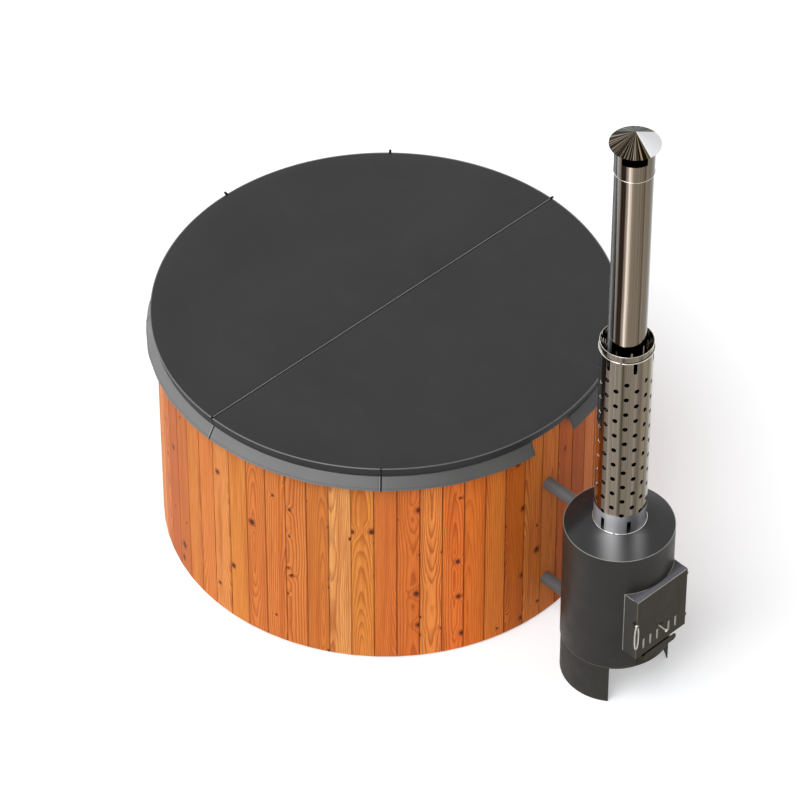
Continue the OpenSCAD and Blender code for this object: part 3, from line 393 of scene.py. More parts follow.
def collar_paint():
    """Painted highlights along the sheet's edges and along the welded joint with the casing, and a painted cold
    grey sheen on the top face.
    """
    f = stove_paint("collar_paint", "#34322f", "#3b3936", 0.38, 0.5, gloss=0.12)
    x, y, z = f.split(f.place)
    out, side = f.minus(x, STOVE_X), f.calc("ABSOLUTE", y)
    side_gap, top_gap = apart(f, side, DOOR_Y), apart(f, z, DOOR_Z1)
    weld_highlight = f.times(f.span(f.length(out, y), CASING_R + 0.0042, CASING_R + 0.0022, 0.0, 0.6),
                   f.span(side, 0.05, 0.07))
    top_sheen = f.times(f.under(top_gap, ON_FACE), f.span(out, 0.165, 0.216, 0.15, 1.0))
    # painted sheen: the top face turns a cold grey, paler towards the door
    f.coat = f.blend(top_sheen, f.coat, "#606066")
    return painted_edge_highlight(f, f.larger(weld_highlight, f.span(f.larger(side_gap, top_gap), 0.0024, 0.0012)), "#c9c8c4")


def door_paint():
    """The front sheet has an olive tone and the pan's sides are the collar's grey. Its top face has a painted
    grey sheen, and painted highlights run along its edges and round the slots."""
    f = stove_paint("door_paint", "#322d1f", "#393426", 0.34, 0.46, gloss=0.08, spray=800)
    x, y, z = f.split(f.place)
    front_gap, side_gap = apart(f, x, DOOR_X1), apart(f, f.calc("ABSOLUTE", y), DOOR_Y)
    top_gap, foot_gap = apart(f, z, DOOR_Z1), apart(f, z, DOOR_Z0)
    # the sides take the collar's paint, and the top a painted sheen
    for gap, tone in ((side_gap, "#3b3936"), (top_gap, "#6b6b73")):
        f.coat = f.blend(f.under(gap, ON_FACE), f.coat, tone)
    edge_highlight_mask = f.span(f.larger(front_gap, top_gap), 0.0024, 0.0012)
    for gap, share in ((side_gap, 0.3), (foot_gap, 0.12)):
        edge_highlight_mask = f.larger(edge_highlight_mask, f.span(f.larger(front_gap, gap), 0.0022, 0.0011, 0.0, share))
    from_slot = apart(f, y, SLOTS_Y[0])
    for middle in SLOTS_Y[1:]:
        from_slot = f.calc("MINIMUM", from_slot, apart(f, y, middle))
    slot_highlight = f.times(f.span(from_slot, 0.0052, 0.0044), f.span(apart(f, z, SLOT_Z), 0.0266, 0.0256))
    return painted_edge_highlight(f, f.larger(edge_highlight_mask, f.times(slot_highlight, 0.8)), "#c2bfb3")


dress(collar_paint(), "door_collar", "door_hinge_pins")
dress(door_paint(), "door_pan", "door_barrels", "damper_rails", "handle_stud")

f = Finish("door_rope", Roughness=0.95)
lay = f.node("TexWave", {"Vector": f.place, "Scale": 95.0, "Distortion": 1.5},
             bands_direction="DIAGONAL").outputs[1]
f.set(Base_Color=f.blend(lay, "#6d675b", "#a69f90"))
f.bump(lay, 0.001, 0.8)
dress(f, "door_gasket")


# ---- Air damper ----
# A stainless strip that slides behind the door's sheet. Its own slots meet the door's at one
# end of the travel, and a turned knob on a stem works it from outside.
# painted light: the strip's pale colour stands against the shade inside the door's slots
f = Finish("brushed_damper_steel", Metallic=0.2)
lines = f.noise(f.stretched(60, 14, 900), 1, 4, 0.6)
# painted shade: near black where the knob's stem stands in its own opening
out_of_painted_shade = f.span(f.split(f.place)[2], SLOT_Z + 0.03, SLOT_Z + 0.027)
f.set(Base_Color=f.blend(out_of_painted_shade, "#1d1b18", f.blend(lines, "#dad8ca", "#f0eee2")),
      Roughness=f.span(lines, 0.3, 0.7, 0.28, 0.44))
f.bump(lines, 0.0002, 0.4)
dress(f, "damper_slide")

f = Finish("turned_knob_steel", Metallic=0.45, Roughness=0.16)
cut = f.noise(f.stretched(1400, 90, 90), 1, 2)
f.set(Base_Color=f.blend(cut, "#cbc9c5", "#f1f0ec"))
f.bump(cut, 0.0002, 0.3)
dress(f, "damper_knob")


# ---- Door handle ----
# A long narrow loop of bent round rod, welded to a turned boss that swings on the stud beside
# the door. The rod is polished, and both its ends go into the boss.
HANDLE_X, HANDLE_Y, HANDLE_Z = DOOR_X1 + 0.0055, -0.143, 0.482
LOOP_TOP, LOOP_FOOT, LOOP_HALF = -0.002, -0.124, 0.0105
ROD_R, BOSS_R, BORE_R = 0.003, 0.007, 0.0034
LOOP_POINTS, BOSS_TURNS = 72, 48


def new_piece(name, points, faces, finish, smooth=True):
    """A mesh object at the origin from an array of points and a list of faces, with its material."""
    mesh = bpy.data.meshes.new(name)
    mesh.from_pydata(points.reshape(-1, 3).tolist(), [], faces)
    mesh.update()
    mesh.polygons.foreach_set("use_smooth", np.full(len(mesh.polygons), smooth))
    mesh.materials.append(finish.material)
    piece = bpy.data.objects.new(name, mesh)
    bpy.context.scene.collection.objects.link(piece)
    return piece


def lattice(rows, columns, closed_rows=False):
    """The four-cornered faces between the rows of a grid of points, numbered row by row. Each row is a closed
    ring, and closed_rows joins the last row to the first."""
    i = np.arange(rows if closed_rows else rows - 1)[:, None]
    j = np.arange(columns)[None, :]
    ahead, beside = (i + 1) % rows, (j + 1) % columns
    corners = [i * columns + j, i * columns + beside, ahead * columns + beside, ahead * columns + j]
    return np.stack(np.broadcast_arrays(*corners), -1).reshape(-1, 4).tolist()


def capped(rings, tips):
    """The skin over a stack of closed rings. A fan of faces closes the first and the last ring to its tip."""
    rows, columns = rings.shape[:2]
    count = rows * columns
    j = np.arange(columns)
    beside = (j + 1) % columns
    first = np.stack([np.full(columns, count), beside, j], -1)
    last = np.stack([np.full(columns, count + 1), count - columns + j, count - columns + beside], -1)
    faces = lattice(rows, columns) + first.tolist() + last.tolist()
    return np.concatenate([rings.reshape(-1, 3), tips]), faces


def joined(parts):
    """Several pieces' points and faces as one mesh's."""
    points, faces, count = [], [], 0
    for some_points, some_faces in parts:
        points.append(some_points)
        faces += [[count + i for i in face] for face in some_faces]
        count += len(some_points)
    return np.concatenate(points), faces


def tube(path, radius, sides):
    """A round bar along a path of points: at each point a ring of the given radius, square to the path. Both
    ends are drawn in over two more rings to a rounded tip."""
    path = np.asarray(path, dtype=float)
    ahead = np.gradient(path, axis=0)
    ahead /= np.linalg.norm(ahead, axis=1, keepdims=True)
    reach = radius * np.array([[0.97], [0.7]])
    radii = radius * np.concatenate([[0.22, 0.7], np.ones(len(path)), [0.7, 0.22]])
    path = np.concatenate([path[0] - ahead[0] * reach, path, path[-1] + ahead[-1] * reach[::-1]])
    ahead = np.pad(ahead, ((2, 2), (0, 0)), mode="edge")
    guide = np.array([0.0, 0.0, 1.0]) if abs(ahead[0, 2]) < 0.7 else np.array([path[0, 0], path[0, 1], 0.0])
    right = np.cross(ahead, guide)
    right /= np.linalg.norm(right, axis=1, keepdims=True)
    turn = np.linspace(0, tau, sides, endpoint=False)[None, :, None]
    ring = right[:, None] * np.cos(turn) + np.cross(ahead, right)[:, None] * np.sin(turn)
    tips = path[[0, -1]] + ahead[[0, -1]] * [[-radius * 0.04], [radius * 0.04]]
    return capped(path[:, None] + radii[:, None, None] * ring, tips)


rod = Finish("polished_rod", Metallic=0.7)
buff = rod.noise(rod.stretched(120, 120, 700), 1, 3)
rod.set(Base_Color=rod.blend(buff, "#a9a59d", "#cfccc5"), Roughness=rod.span(buff, 0.3, 0.7, 0.16, 0.28))


def long_loop():
    """The rod's middle line: from the boss down one side and up the other. The height is a cosine between the
    loop's top and foot, and the distance to the side is half the width times the sine's 0.8th power, fuller
    than an ellipse."""
    t = np.linspace(0.4, tau - 0.4, LOOP_POINTS)
    middle, reach = (LOOP_TOP + LOOP_FOOT) / 2, (LOOP_TOP - LOOP_FOOT) / 2
    side = LOOP_HALF * np.sign(np.sin(t)) * np.abs(np.sin(t)) ** 0.8
    height = HANDLE_Z + middle + reach * np.cos(t)
    return np.stack([np.full(LOOP_POINTS, HANDLE_X), HANDLE_Y - side, height], -1)


def turned_boss():
    """A bored disc with eased edges: a closed outline of distances along X and radii, turned about the stud."""
    along = HANDLE_X + np.array([0.0057, 0.0057, 0.005, -0.0043, -0.005, -0.005])
    radius = np.array([BORE_R, BOSS_R - 0.0007, BOSS_R, BOSS_R, BOSS_R - 0.0007, BORE_R])
    turns = np.linspace(0, tau, BOSS_TURNS, endpoint=False)[:, None]
    y, z = HANDLE_Y + radius * np.cos(turns), HANDLE_Z + radius * np.sin(turns)
    points = np.stack([along + 0 * turns, y, z], -1)
    return points.reshape(-1, 3), lattice(BOSS_TURNS, len(along), closed_rows=True)


handle = new_piece("door_loop_handle", *joined([tube(long_loop(), ROD_R, 16), turned_boss()]), rod)
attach(handle, "handle")
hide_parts("door_handle")


# ---- Ash drawer front ----
# A rolled front plate, with a straight folded lip with round ends welded on as the pull. It is
# painted like the fire door above it.
dress(stove_paint("ash_front_paint", "#322d22", "#393428", 0.36, 0.5, gloss=0.08, spray=800), "ash_front")


# ---- Flue pipe, heat shield and its rings ----
# Mirror-polished stainless sheet, rolled and seam welded. The shield is punched with staggered
# holes and slots, stands off the flue on flat bars, and has a split wire ring at foot and top.
SHIELD_R, SHIELD_FOOT, SHIELD_TOP = 0.1015, 0.8046, 1.7158
FIRST_SLOT_DEG, SLOT_HALF = 33.0, 0.0075 / (SHIELD_R * tau / 6)
SLOT_UP, POLISH = 0.0335, 0.06


def by_angle(f, turn, reflection_bands):
    """Colours round an axis: each band is (degrees, colour)."""
    return f.ramp(f.line(turn, 1 / tau, 0.5), *[(degrees / 360 + 0.5, colour) for degrees, colour in reflection_bands])


def on_circle(f, turn, radius, height):
    """The point at an angle on a circle, where noise has no seam."""
    return f.point(f.times(f.calc("COSINE", turn), radius), f.times(f.calc("SINE", turn), radius), height)


def mirror_sheet(name, reflection_bands, depth):
    """Rolled sheet, polished along the pipe. Its colour carries painted reflections: stripes of different tone
    round the pipe that drift a little with height, and finer painted stripes of noise over the angle's cosine
    and sine."""
    f = Finish(name, Metallic=1.0, Roughness=POLISH)
    x, y, f.up = about_stove(f)
    drift = f.minus(f.noise(f.point(0.0, 0.0, f.up), 1.3, 2), 0.5)
    f.turn = f.line(drift, 0.14, f.calc("ARCTAN2", y, x))
    painted_streak = f.noise(on_circle(f, f.turn, 9.0, f.times(f.up, 0.25)), 1.0, 3, 0.7)
    painted_streak = f.ramp(painted_streak, (0.36, 0.55), (0.47, 0.92), (0.56, 1.02), (0.68, 1.45))
    f.coat = f.blend(1.0, by_angle(f, f.turn, reflection_bands), painted_streak, "MULTIPLY")
    f.set(Base_Color=f.coat)
    f.bump(f.noise(f.point(x, y, f.times(f.up, 0.5)), 26.0, 2), 0.001, depth)
    return f


def flue_finish():
    """The flue's left side is duller, and the stretch inside the shield is near black."""
    # the colours by angle are painted reflections
    f = mirror_sheet("polished_flue_sheet", (
        (-180, "#6f6455"), (-156, "#8d8a86"), (-136, "#c4c4c6"), (-112, "#b4b4b6"), (-98, "#a19e99"),
        (-93, "#807a72"), (-86.5, "#766c62"), (-83.5, "#33291f"), (-79, "#150d07"), (-75.5, "#35261f"),
        (-72.4, "#1c100b"), (-69, "#3a2b22"), (-66.5, "#8c7d70"), (-61, "#a59586"), (-58.5, "#e9dccf"),
        (-54, "#d3c3b2"), (-51.5, "#bdad9c"), (-49.5, "#7d6f5f"), (-44, "#72675a"), (-34, "#6f6456"),
        (-17, "#6d6051"), (-14, "#4a3c2f"), (-6, "#72675a"), (4, "#5d5341"), (20, "#5b5342"),
        (45, "#4b4439"), (70, "#2f261f"), (78, "#b9ab9b"), (88, "#6f6455"), (124, "#584e42"),
        (148, "#a0958a"), (180, "#6f6455")), 0.04)
    dull = f.times(f.span(f.turn, radians(-150), radians(-135)), f.span(f.turn, radians(-96), radians(-112)))
    inside = f.span(f.up, SHIELD_TOP - 0.02, SHIELD_TOP - 0.07)
    f.set(Metallic=f.span(dull, 0.0, 1.0, 1.0, 0.55), Base_Color=f.blend(inside, f.coat, "#141210"))
    return f


def shield_finish():
    """The shield's foot is paler and less metallic, with painted reflections by angle in greys, and painted
    shade rings its slots.
    """
    f = mirror_sheet("polished_shield_sheet", (
        (-180, "#776d5f"), (-152, "#d8d2ca"), (-130, "#f4efe8"), (-112, "#e6ddd2"), (-105, "#857a6e"),
        (-92, "#5b5145"), (-80, "#857b6f"), (-58, "#7d7367"), (-52, "#574e40"), (-44, "#71685b"),
        (-22, "#776c60"), (-12, "#5a4f43"), (-4, "#7f735f"), (8, "#5b5139"), (18, "#7c735f"),
        (42, "#857f72"), (70, "#4c4338"), (84, "#a79c8f"), (120, "#5f5548"), (152, "#8d8375"),
        (180, "#776d5f")), 0.16)
    foot = f.span(f.up, SHIELD_FOOT + 0.098, SHIELD_FOOT + 0.09)
    painted_foot_reflection = by_angle(f, f.turn, (
        (-180, "#66666a"), (-140, "#77777b"), (-106, "#a0a0a4"), (-86, "#9a9a9d"), (-74, "#c2c2c4"),
        (-62, "#b8b8ba"), (-50, "#97979a"), (-38, "#838487"), (-30, "#636466"), (-20, "#555558"),
        (-9, "#68686b"), (4, "#98989b"), (20, "#96969a"), (60, "#626266"), (120, "#75757a"),
        (180, "#66666a")))
    sixth = f.calc("FRACT", f.line(f.turn, 6 / tau, 12.5 - FIRST_SLOT_DEG / 60))
    painted_slot_shade = f.times(f.span(apart(f, sixth, 0.5), SLOT_HALF + 0.006, SLOT_HALF + 0.002),
                    f.span(apart(f, f.up, SHIELD_FOOT + SLOT_UP), 0.031, 0.0285))
    f.set(Base_Color=f.blend(foot, f.coat, f.blend(painted_slot_shade, painted_foot_reflection, "#050505")),
          Metallic=f.span(foot, 0.0, 1.0, 1.0, 0.25), Roughness=f.span(foot, 0.0, 1.0, POLISH, 0.3))
    return f


dress(flue_finish(), "flue_pipe", "cap_sleeve", "shield_spacers")
dress(shield_finish(), "heat_shield")

wire = Finish("polished_wire", Metallic=1.0)
draw = wire.noise(wire.place, 60, 3)
wire.set(Base_Color=wire.blend(draw, "#b9b7b3", "#dddbd8"), Roughness=wire.span(draw, 0.3, 0.7, 0.1, 0.18))
dress(wire, "shield_rings")


def at_angle(radius, turn, height):
    """Points at the given distances from the Z axis, angles about it and heights."""
    return np.stack(np.broadcast_arrays(radius * np.cos(turn), radius * np.sin(turn), height), -1)


def hoop(radius, height, thick):
    """A wire bent round the stove's axis: a circle of the given radius and height swept by a small circle."""
    turns = np.linspace(0, tau, 128, endpoint=False)[:, None]
    small = np.linspace(0, tau, 10, endpoint=False)[None]
    points = at_angle(radius + thick * np.cos(small), turns, height - thick * np.sin(small))
    return points + [STOVE_X, 0, 0], lattice(128, 10, closed_rows=True)


edge = new_piece("shield_rolled_edge", *hoop(SHIELD_R, SHIELD_TOP, 0.0011), wire)
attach(edge, "tub_and_stove")


# ---- Rain cap ----
# A spun cone on a sleeve with three windows; the sleeve slips over the flue pipe. The cone is
# polished, and the sleeve's foot is rolled over a wire.
SLEEVE_R, SLEEVE_FOOT = 0.0752, 2.5392


def spun_cone():
    """Polished from the point outwards, and its colour is painted reflections: rays whose tone changes with the
    angle alone. One broad sector is a painted bright reflection, and the rest is black with brown and grey
    rays."""
    f = Finish("polished_cone", Metallic=0.1, Roughness=0.35, Specular_IOR_Level=0.05)
    x, y = about_stove(f)[:2]
    turn = f.calc("ARCTAN2", y, x)
    dark = f.ramp(
        f.noise(on_circle(f, turn, 2.5, 0.0), 1.0, 2),
        (0.32, "#060504"), (0.37, "#6a5a4a"), (0.4, "#050404"), (0.43, "#040303"), (0.455, "#b3a38d"),
        (0.475, "#4c4238"), (0.49, "#030202"), (0.52, "#040303"), (0.545, "#8a7c68"), (0.565, "#0c0a08"),
        (0.61, "#040303"), (0.64, "#a0937f"), (0.68, "#060505"))
    # painted reflection tints: brown toward the front, olive beside the bright sector and a greenish grey
    # behind
    behind = (0.5, 0.72, 0.78, 1.0)
    reflection_tint = f.ramp(f.line(turn, 1 / tau, 0.5), (0.0, behind), (0.06, 0.9), (0.38, 0.9),
                 (0.46, (0.9, 0.8, 0.4, 1.0)), (0.74, (0.6, 0.8, 0.84, 1.0)), (1.0, behind))
    dark = f.blend(1.0, dark, reflection_tint, "MULTIPLY")
    bright = f.times(f.span(turn, radians(-12.5), radians(-10.5)), f.span(turn, radians(88), radians(85)))
    f.set(Base_Color=f.blend(bright, dark, "#e9e9eb"))
    return f


dress(spun_cone(), "cap_cone")
edge = new_piece("sleeve_rolled_edge", *hoop(SLEEVE_R, SLEEVE_FOOT, 0.0013), wire)
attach(edge, "rain_cap")


# ---- Drain valve's ball ----
# A bored steel ball, turned by the lever. It is polished like the rod of the door's handle, whose
# finish it shares.
dress(rod, "drain_ball")


# ---- Folding cover: two pads ----
# Two half-round pads of foam sewn into dark grey leather-cloth. The cloth is stretched over the
# foam's flat top and is pulled down where a welt is sewn in round the edge and along the fold.
HALVES = {"stove_side": (1, "stove_half_cover"), "far_side": (-1, "far_half_cover")}      # (side, body)
FOLD_GAP = 0.00075
WELT_R, WELT_Z, WELT_THICK = 0.9188, 1.0453, 0.0032
PAD_LOW, PAD_TOP, PAD_FOOT_R = 0.9986, 1.0485, 0.9093
LINED_R, LINED_FOLD, LINED_Z = 0.9058, 0.0075, 1.00015
AROUND_FOLD, AROUND_RIM = 170, 300
PUFF, PUFF_FRAMES = 0.0022, 14


def outline(fold_x, rim_r):
    """A half disc's edge as a closed ring of points: down the line x = fold_x, then back along the arc of
    radius rim_r. Both corners are points of the ring, and each part's points are evenly spaced."""
    corner = np.sqrt(rim_r ** 2 - fold_x ** 2)
    turn = np.arctan2(corner, fold_x)
    along = np.linspace(corner, -corner, AROUND_FOLD, endpoint=False)
    angle = np.linspace(-turn, turn, AROUND_RIM, endpoint=False)
    straight = np.stack([np.full(AROUND_FOLD, fold_x), along], -1)
    return np.concatenate([straight, np.stack([rim_r * np.cos(angle), rim_r * np.sin(angle)], -1)])


def leather_cloth(name, dark, light, rough_low, rough_high, gloss):
    """Coated cloth: a pebbled grain of small cells, slow changes of tone, and faint dusty patches."""
    f = Finish(name, Specular_IOR_Level=gloss, Sheen_Weight=0.02, Sheen_Roughness=0.5)
    patch = f.noise(f.place, 11, 5, 0.65)
    f.cloth = f.blend(f.span(f.noise(f.place, 1.9, 4, 0.55), 0.32, 0.68), dark, light)
    f.cloth = f.blend(f.times(f.span(patch, 0.5, 0.78), 0.02), f.cloth, "#8c8c8a")
    f.relief = f.line(f.cells(520.0, 0.9), 0.22, f.times(f.noise(f.place, 6.5, 3, 0.5), 1.8))
    f.set(Base_Color=f.cloth, Roughness=f.span(patch, 0.35, 0.7, rough_low, rough_high))
    f.bump(f.relief, 0.0011, 0.55)
    return f


def pad_form(side):
    """A half-round pad as rings from the middle of its underside, out along it, up the wall and over the top to
    the middle again. The wall leans out from foot to welt. The top starts a little below the foam's height at
    the welt and rises to it within a hand's breadth, more gently beside the fold, where the halves meet."""
    middle = np.array([0.4 * PAD_FOOT_R, 0.0])
    rings = []

    def ring(fold_x, rim_r, z, share=1.0):
        flat = middle + share * (outline(fold_x, rim_r) - middle)
        rings.append(np.concatenate([flat, np.full((len(flat), 1), z)], -1))

    for share in np.linspace(0.04, 0.97, 14):
        ring(LINED_FOLD, LINED_R, LINED_Z, share)
    ring(LINED_FOLD, LINED_R, LINED_Z)
    ring(0.0068, 0.9069, 0.9998)
    ring(0.0060, 0.9074, PAD_LOW)
    ring(FOLD_GAP + 0.0012, PAD_FOOT_R - 0.0009, PAD_LOW)
    for up in np.linspace(0.02, 0.93, 10):
        belly = sin(pi * up)
        ring(FOLD_GAP + 0.0004 - 0.0003 * belly, PAD_FOOT_R + 0.0092 * up + 0.0006 * belly,
             PAD_LOW + up * (WELT_Z - PAD_LOW))
    ring(0.0019, WELT_R - 0.0006, WELT_Z - 0.0006)
    ring(0.0036, WELT_R - 0.0024, WELT_Z + 0.0009)
    for inset in (0.0005, 0.002, 0.0045, 0.009, 0.016, 0.026, 0.04):
        ring(0.0040 + inset, WELT_R - 0.0034 - inset, PAD_TOP)
    for share in 1 - np.linspace(0.04, 0.96, 34):
        ring(0.0440, WELT_R - 0.0434, PAD_TOP, share)

    points = np.stack(rings)
    top = points[..., 2] == PAD_TOP
    from_fold = points[..., 0] - 0.004
    from_rim = WELT_R - 0.0034 - np.hypot(points[..., 0], points[..., 1])
    tucked = 0.0016 * np.exp(-np.minimum(from_rim, from_fold * 4) / 0.008)
    full = 0.0022 * (1 - np.exp(-np.maximum(from_rim, 0) / 0.05))
    full *= 1 - np.exp(-np.maximum(from_fold, 0) / 0.12)
    points[..., 2] += np.where(top, full - np.maximum(tucked, 0), 0)
    points, faces = capped(points, [[middle[0], 0, LINED_Z], [middle[0], 0, points[-1, :, 2].mean()]])
    return points * [side, side, 1], faces


def puffed(piece, most):
    """Lets the pad's cloth swell under light pressure while its seams are held, and keeps no more than most of
    it. A point's move is most times tanh of the simulated move over most, and less still beside the fold."""
    mesh, scene = piece.data, bpy.context.scene
    before = np.empty(len(mesh.vertices) * 3)
    mesh.vertices.foreach_get("co", before)
    before = before.reshape(-1, 3)
    height, radius, fold = before[:, 2], np.hypot(before[:, 0], before[:, 1]), np.abs(before[:, 0])
    held = (height < 1.003) | ((height > 1.0435) & ((radius > WELT_R - 0.0045) | (fold < 0.0055)))
    seam = piece.vertex_groups.new(name="seam")
    seam.add(np.flatnonzero(held).tolist(), 1.0, "REPLACE")
    cloth = piece.modifiers.new("cloth", "CLOTH")
    press = cloth.settings
    press.quality, press.mass, press.bending_stiffness = 5, 0.4, 2
    press.tension_stiffness = press.compression_stiffness = 30
    press.vertex_group_mass = "seam"
    press.use_pressure, press.uniform_pressure_force = True, 3
    press.effector_weights.gravity = 0
    cloth.point_cache.frame_start, cloth.point_cache.frame_end = 1, PUFF_FRAMES
    for moment in range(1, PUFF_FRAMES + 1):
        scene.frame_set(moment)
    solved = piece.evaluated_get(bpy.context.evaluated_depsgraph_get())
    after = np.empty(len(before) * 3)
    solved.to_mesh().vertices.foreach_get("co", after)
    solved.to_mesh_clear()
    piece.modifiers.remove(cloth)
    piece.vertex_groups.remove(seam)
    scene.frame_set(1)
    move = after.reshape(-1, 3) - before
    length = np.linalg.norm(move, axis=1, keepdims=True) + 1e-9
    limit = np.minimum(most, 0.0002 + 0.016 * fold)[:, None]
    move *= limit * np.tanh(length / limit) / length
    move[(height > 0.9995) & (height < 1.044) & (fold < 0.004), 0] = 0
    move[height < 1.003] = 0
    mesh.vertices.foreach_set("co", (before + move).ravel())
    mesh.update()


pad_cloth = leather_cloth("grey_leather_cloth", "#313131", "#363636", 0.46, 0.56, gloss=0.12)
for half, (side, body) in HALVES.items():
    pad = new_piece(half + "_pad", *pad_form(side), pad_cloth)
    puffed(pad, PUFF)
    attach(pad, body)
    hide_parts(half + "_jacket", half + "_core")


# ---- Folding cover: film under each pad ----
# A thin smooth film is welded flat over the foam's underside and keeps the steam out of it. Its
# edge lies just inside the jacket's, which is turned in under the foam.
FILM_R, FILM_FOLD = 0.9057, 0.0076
FILM_LOW, FILM_HIGH, FILM_RINGS = 0.99880, 0.99995, 12

film = Finish("underside_film", Specular_IOR_Level=0.5)
ripple = film.noise(film.stretched(7, 2.5, 7), 1, 4, 0.55)
film.set(Base_Color=film.blend(film.span(ripple, 0.35, 0.65), "#8a9094", "#9aa0a3"),
         Roughness=film.span(ripple, 0.3, 0.7, 0.28, 0.42))
film.bump(ripple, 0.0025, 0.5)

for half, (side, body) in HALVES.items():
    # rings of the half disc, grown from its middle on the lower face and shrunk again on the upper one
    shares = np.linspace(0.05, 1, FILM_RINGS)
    shares = np.concatenate([shares, shares[::-1]])[:, None, None]
    heights = np.repeat([FILM_LOW, FILM_HIGH], FILM_RINGS)[:, None, None]
    middle = np.array([0.4 * FILM_R, 0.0])
    flat = middle + shares * (outline(FILM_FOLD, FILM_R) - middle)[None]
    rings = np.concatenate([flat, np.broadcast_to(heights, (*flat.shape[:2], 1))], -1)
    points, faces = capped(rings, [[*middle, FILM_LOW], [*middle, FILM_HIGH]])
    sheet = new_piece(half + "_film", points * [side, side, 1], faces, film, smooth=False)
    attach(sheet, body)
    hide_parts(half + "_lining")


# ---- Folding cover: skirt ----
# Lighter grey leather-cloth, darker beside the stove, in four panels to each half, sewn into the
# pad's lower edge and hemmed. A dark seam covers each join, and most end in a knot over the welt.
# The skirt is cut away over the stove's two pipes.
SKIRT_TOP, SKIRT_HEM = (0.9093, 0.9982), (0.9383, 0.9485)
SKIRT_THICK, SKIRT_R = 0.0024, 0.93
STITCH, STITCH_UP, STITCH_HALF = 0.0055, 0.0085, 0.0007
PANEL_DEG, MOUTH_DEG, SEAM_DEG, FOLD_DEG, FLAP_DEG = 45, 6.31, 0.139, 0.07, 0.8
FLAP_INWARD, FLAP_R = 0.0036, 0.92


def skirt_finish():
    """A stitched hem, painted shade beside the stove, and at each join a fold that shines and a dark gap."""
    f = leather_cloth("light_leather_cloth", "#747474", "#7d7d7c", 0.42, 0.56, gloss=0.2)
    x, y, z = f.split(f.place)
    turn = f.calc("ARCTAN2", y, x)
    stitch = f.times(f.under(apart(f, z, SKIRT_HEM[1] + STITCH_UP), STITCH_HALF),
                     f.under(f.calc("FRACT", f.times(turn, SKIRT_R / STITCH)), 0.68))
    edge = f.span(z, SKIRT_HEM[1] + 0.0022, SKIRT_HEM[1] - 0.0004)
    turn = f.line(turn, 1 / tau, 0.5)
    # painted shade: darker beside the stove
    painted_shade_tone = f.ramp(turn, (0.33, 1.0), (0.375, 0.84), (0.43, 0.48), (0.58, 0.44), (0.8, 0.95), (1.0, 1.0))
    cloth = f.blend(1.0, f.blend(f.times(edge, 0.35), f.cloth, "#9ba0a0"), painted_shade_tone, "MULTIPLY")
    # one panel of each join is turned in under its seam, and that fold catches the light
    eighth = f.calc("FRACT", f.times(turn, 8))
    shine = f.span(eighth, 1 - 0.46 / PANEL_DEG, 1 - 0.38 / PANEL_DEG, 0.0, 0.7)
    gap = f.span(apart(f, eighth, 0.5), 0.5 - 0.2 / PANEL_DEG, 0.5 - 0.16 / PANEL_DEG)
    cloth = f.blend(gap, f.blend(shine, cloth, "#b4b6b6"), "#0c0c0c")
    f.set(Base_Color=f.blend(stitch, cloth, "#4a4e4f"))
    f.bump(f.plus(f.relief, f.times(stitch, 1.5)), 0.0011, 0.55)
    return f


def skirt_panel(start, end, inward=0.0):
    """One panel: a thin closed section, outer face down and inner face up with a rounded hem, carried round the
    tub from start to end degrees and closed at both. It stands off by its slope, and hangs in long waves that
    are nothing at the sewn top and 1.6 mm at the hem. inward moves the whole panel towards the tub."""
    down = np.concatenate([np.linspace(0, 0.82, 9), [0.86, 0.9, 0.95, 0.985]])
    thick = SKIRT_THICK * np.where(down > 0.83, 1.3, 1.0) / 2
    nose = np.linspace(-pi / 2, pi / 2, 5)[1:-1]
    t = np.concatenate([down, 0.985 + 0.03 * np.cos(nose), down[::-1]])
    off = np.concatenate([thick, -SKIRT_THICK * 0.65 * np.sin(nose), -thick[::-1]])
    slope = np.subtract(SKIRT_HEM, SKIRT_TOP)
    out = np.array([-slope[1], slope[0]]) / np.hypot(*slope)
    turns = np.radians(np.linspace(start, end, max(8, int(abs(end - start) * 1.3))))[:, None]
    wave = 0.0009 * np.sin(turns * 23 + 0.7) + 0.0007 * np.sin(turns * 41 + 2.1)
    radius = SKIRT_TOP[0] + slope[0] * t + out[0] * off + wave * t ** 2 - inward
    points = at_angle(radius, turns, SKIRT_TOP[1] + slope[1] * t + out[1] * off)
    rows, columns = points.shape[:2]
    # the two ends are closed by strips between the outer and the inner face
    j = np.arange(columns // 2)
    strip = np.stack([j, j + 1, columns - 2 - j, columns - 1 - j], -1)
    caps = np.concatenate([strip[:, ::-1], strip + (rows - 1) * columns]).tolist()
    return points.reshape(-1, 3), [list(dict.fromkeys(face)) for face in lattice(rows, columns) + caps]


def seam_bars(degrees, knot_r):
    """The seam of one join: a bar from the pad's lower edge to just past the hem, a thinner one up the pad's
    wall, and a knot over the welt if knot_r isn't 0. Each line is pairs of radius and height."""
    run = np.linspace(0.02, 1.03, 14)[:, None]
    lines = [(np.array(SKIRT_TOP) + run * np.subtract(SKIRT_HEM, SKIRT_TOP), 0.0023, 10),
             (np.linspace((0.9185, 1.0425), (0.9105, 1.0015), 8), 0.0021, 8)]
    if knot_r:
        knot = np.array([(0.9165, 1.0435), (0.9200, 1.0505), (0.9235, 1.0522), (0.9275, 1.0516)])
        lines.append((knot, knot_r, 12))
    return [tube(at_angle(line[:, 0], radians(degrees), line[:, 1]), thick, sides)
            for line, thick, sides in lines]


skirt_cloth = skirt_finish()
seam_cloth = leather_cloth("dark_seam_cloth", "#080808", "#0c0c0c", 0.5, 0.6, gloss=0.05)
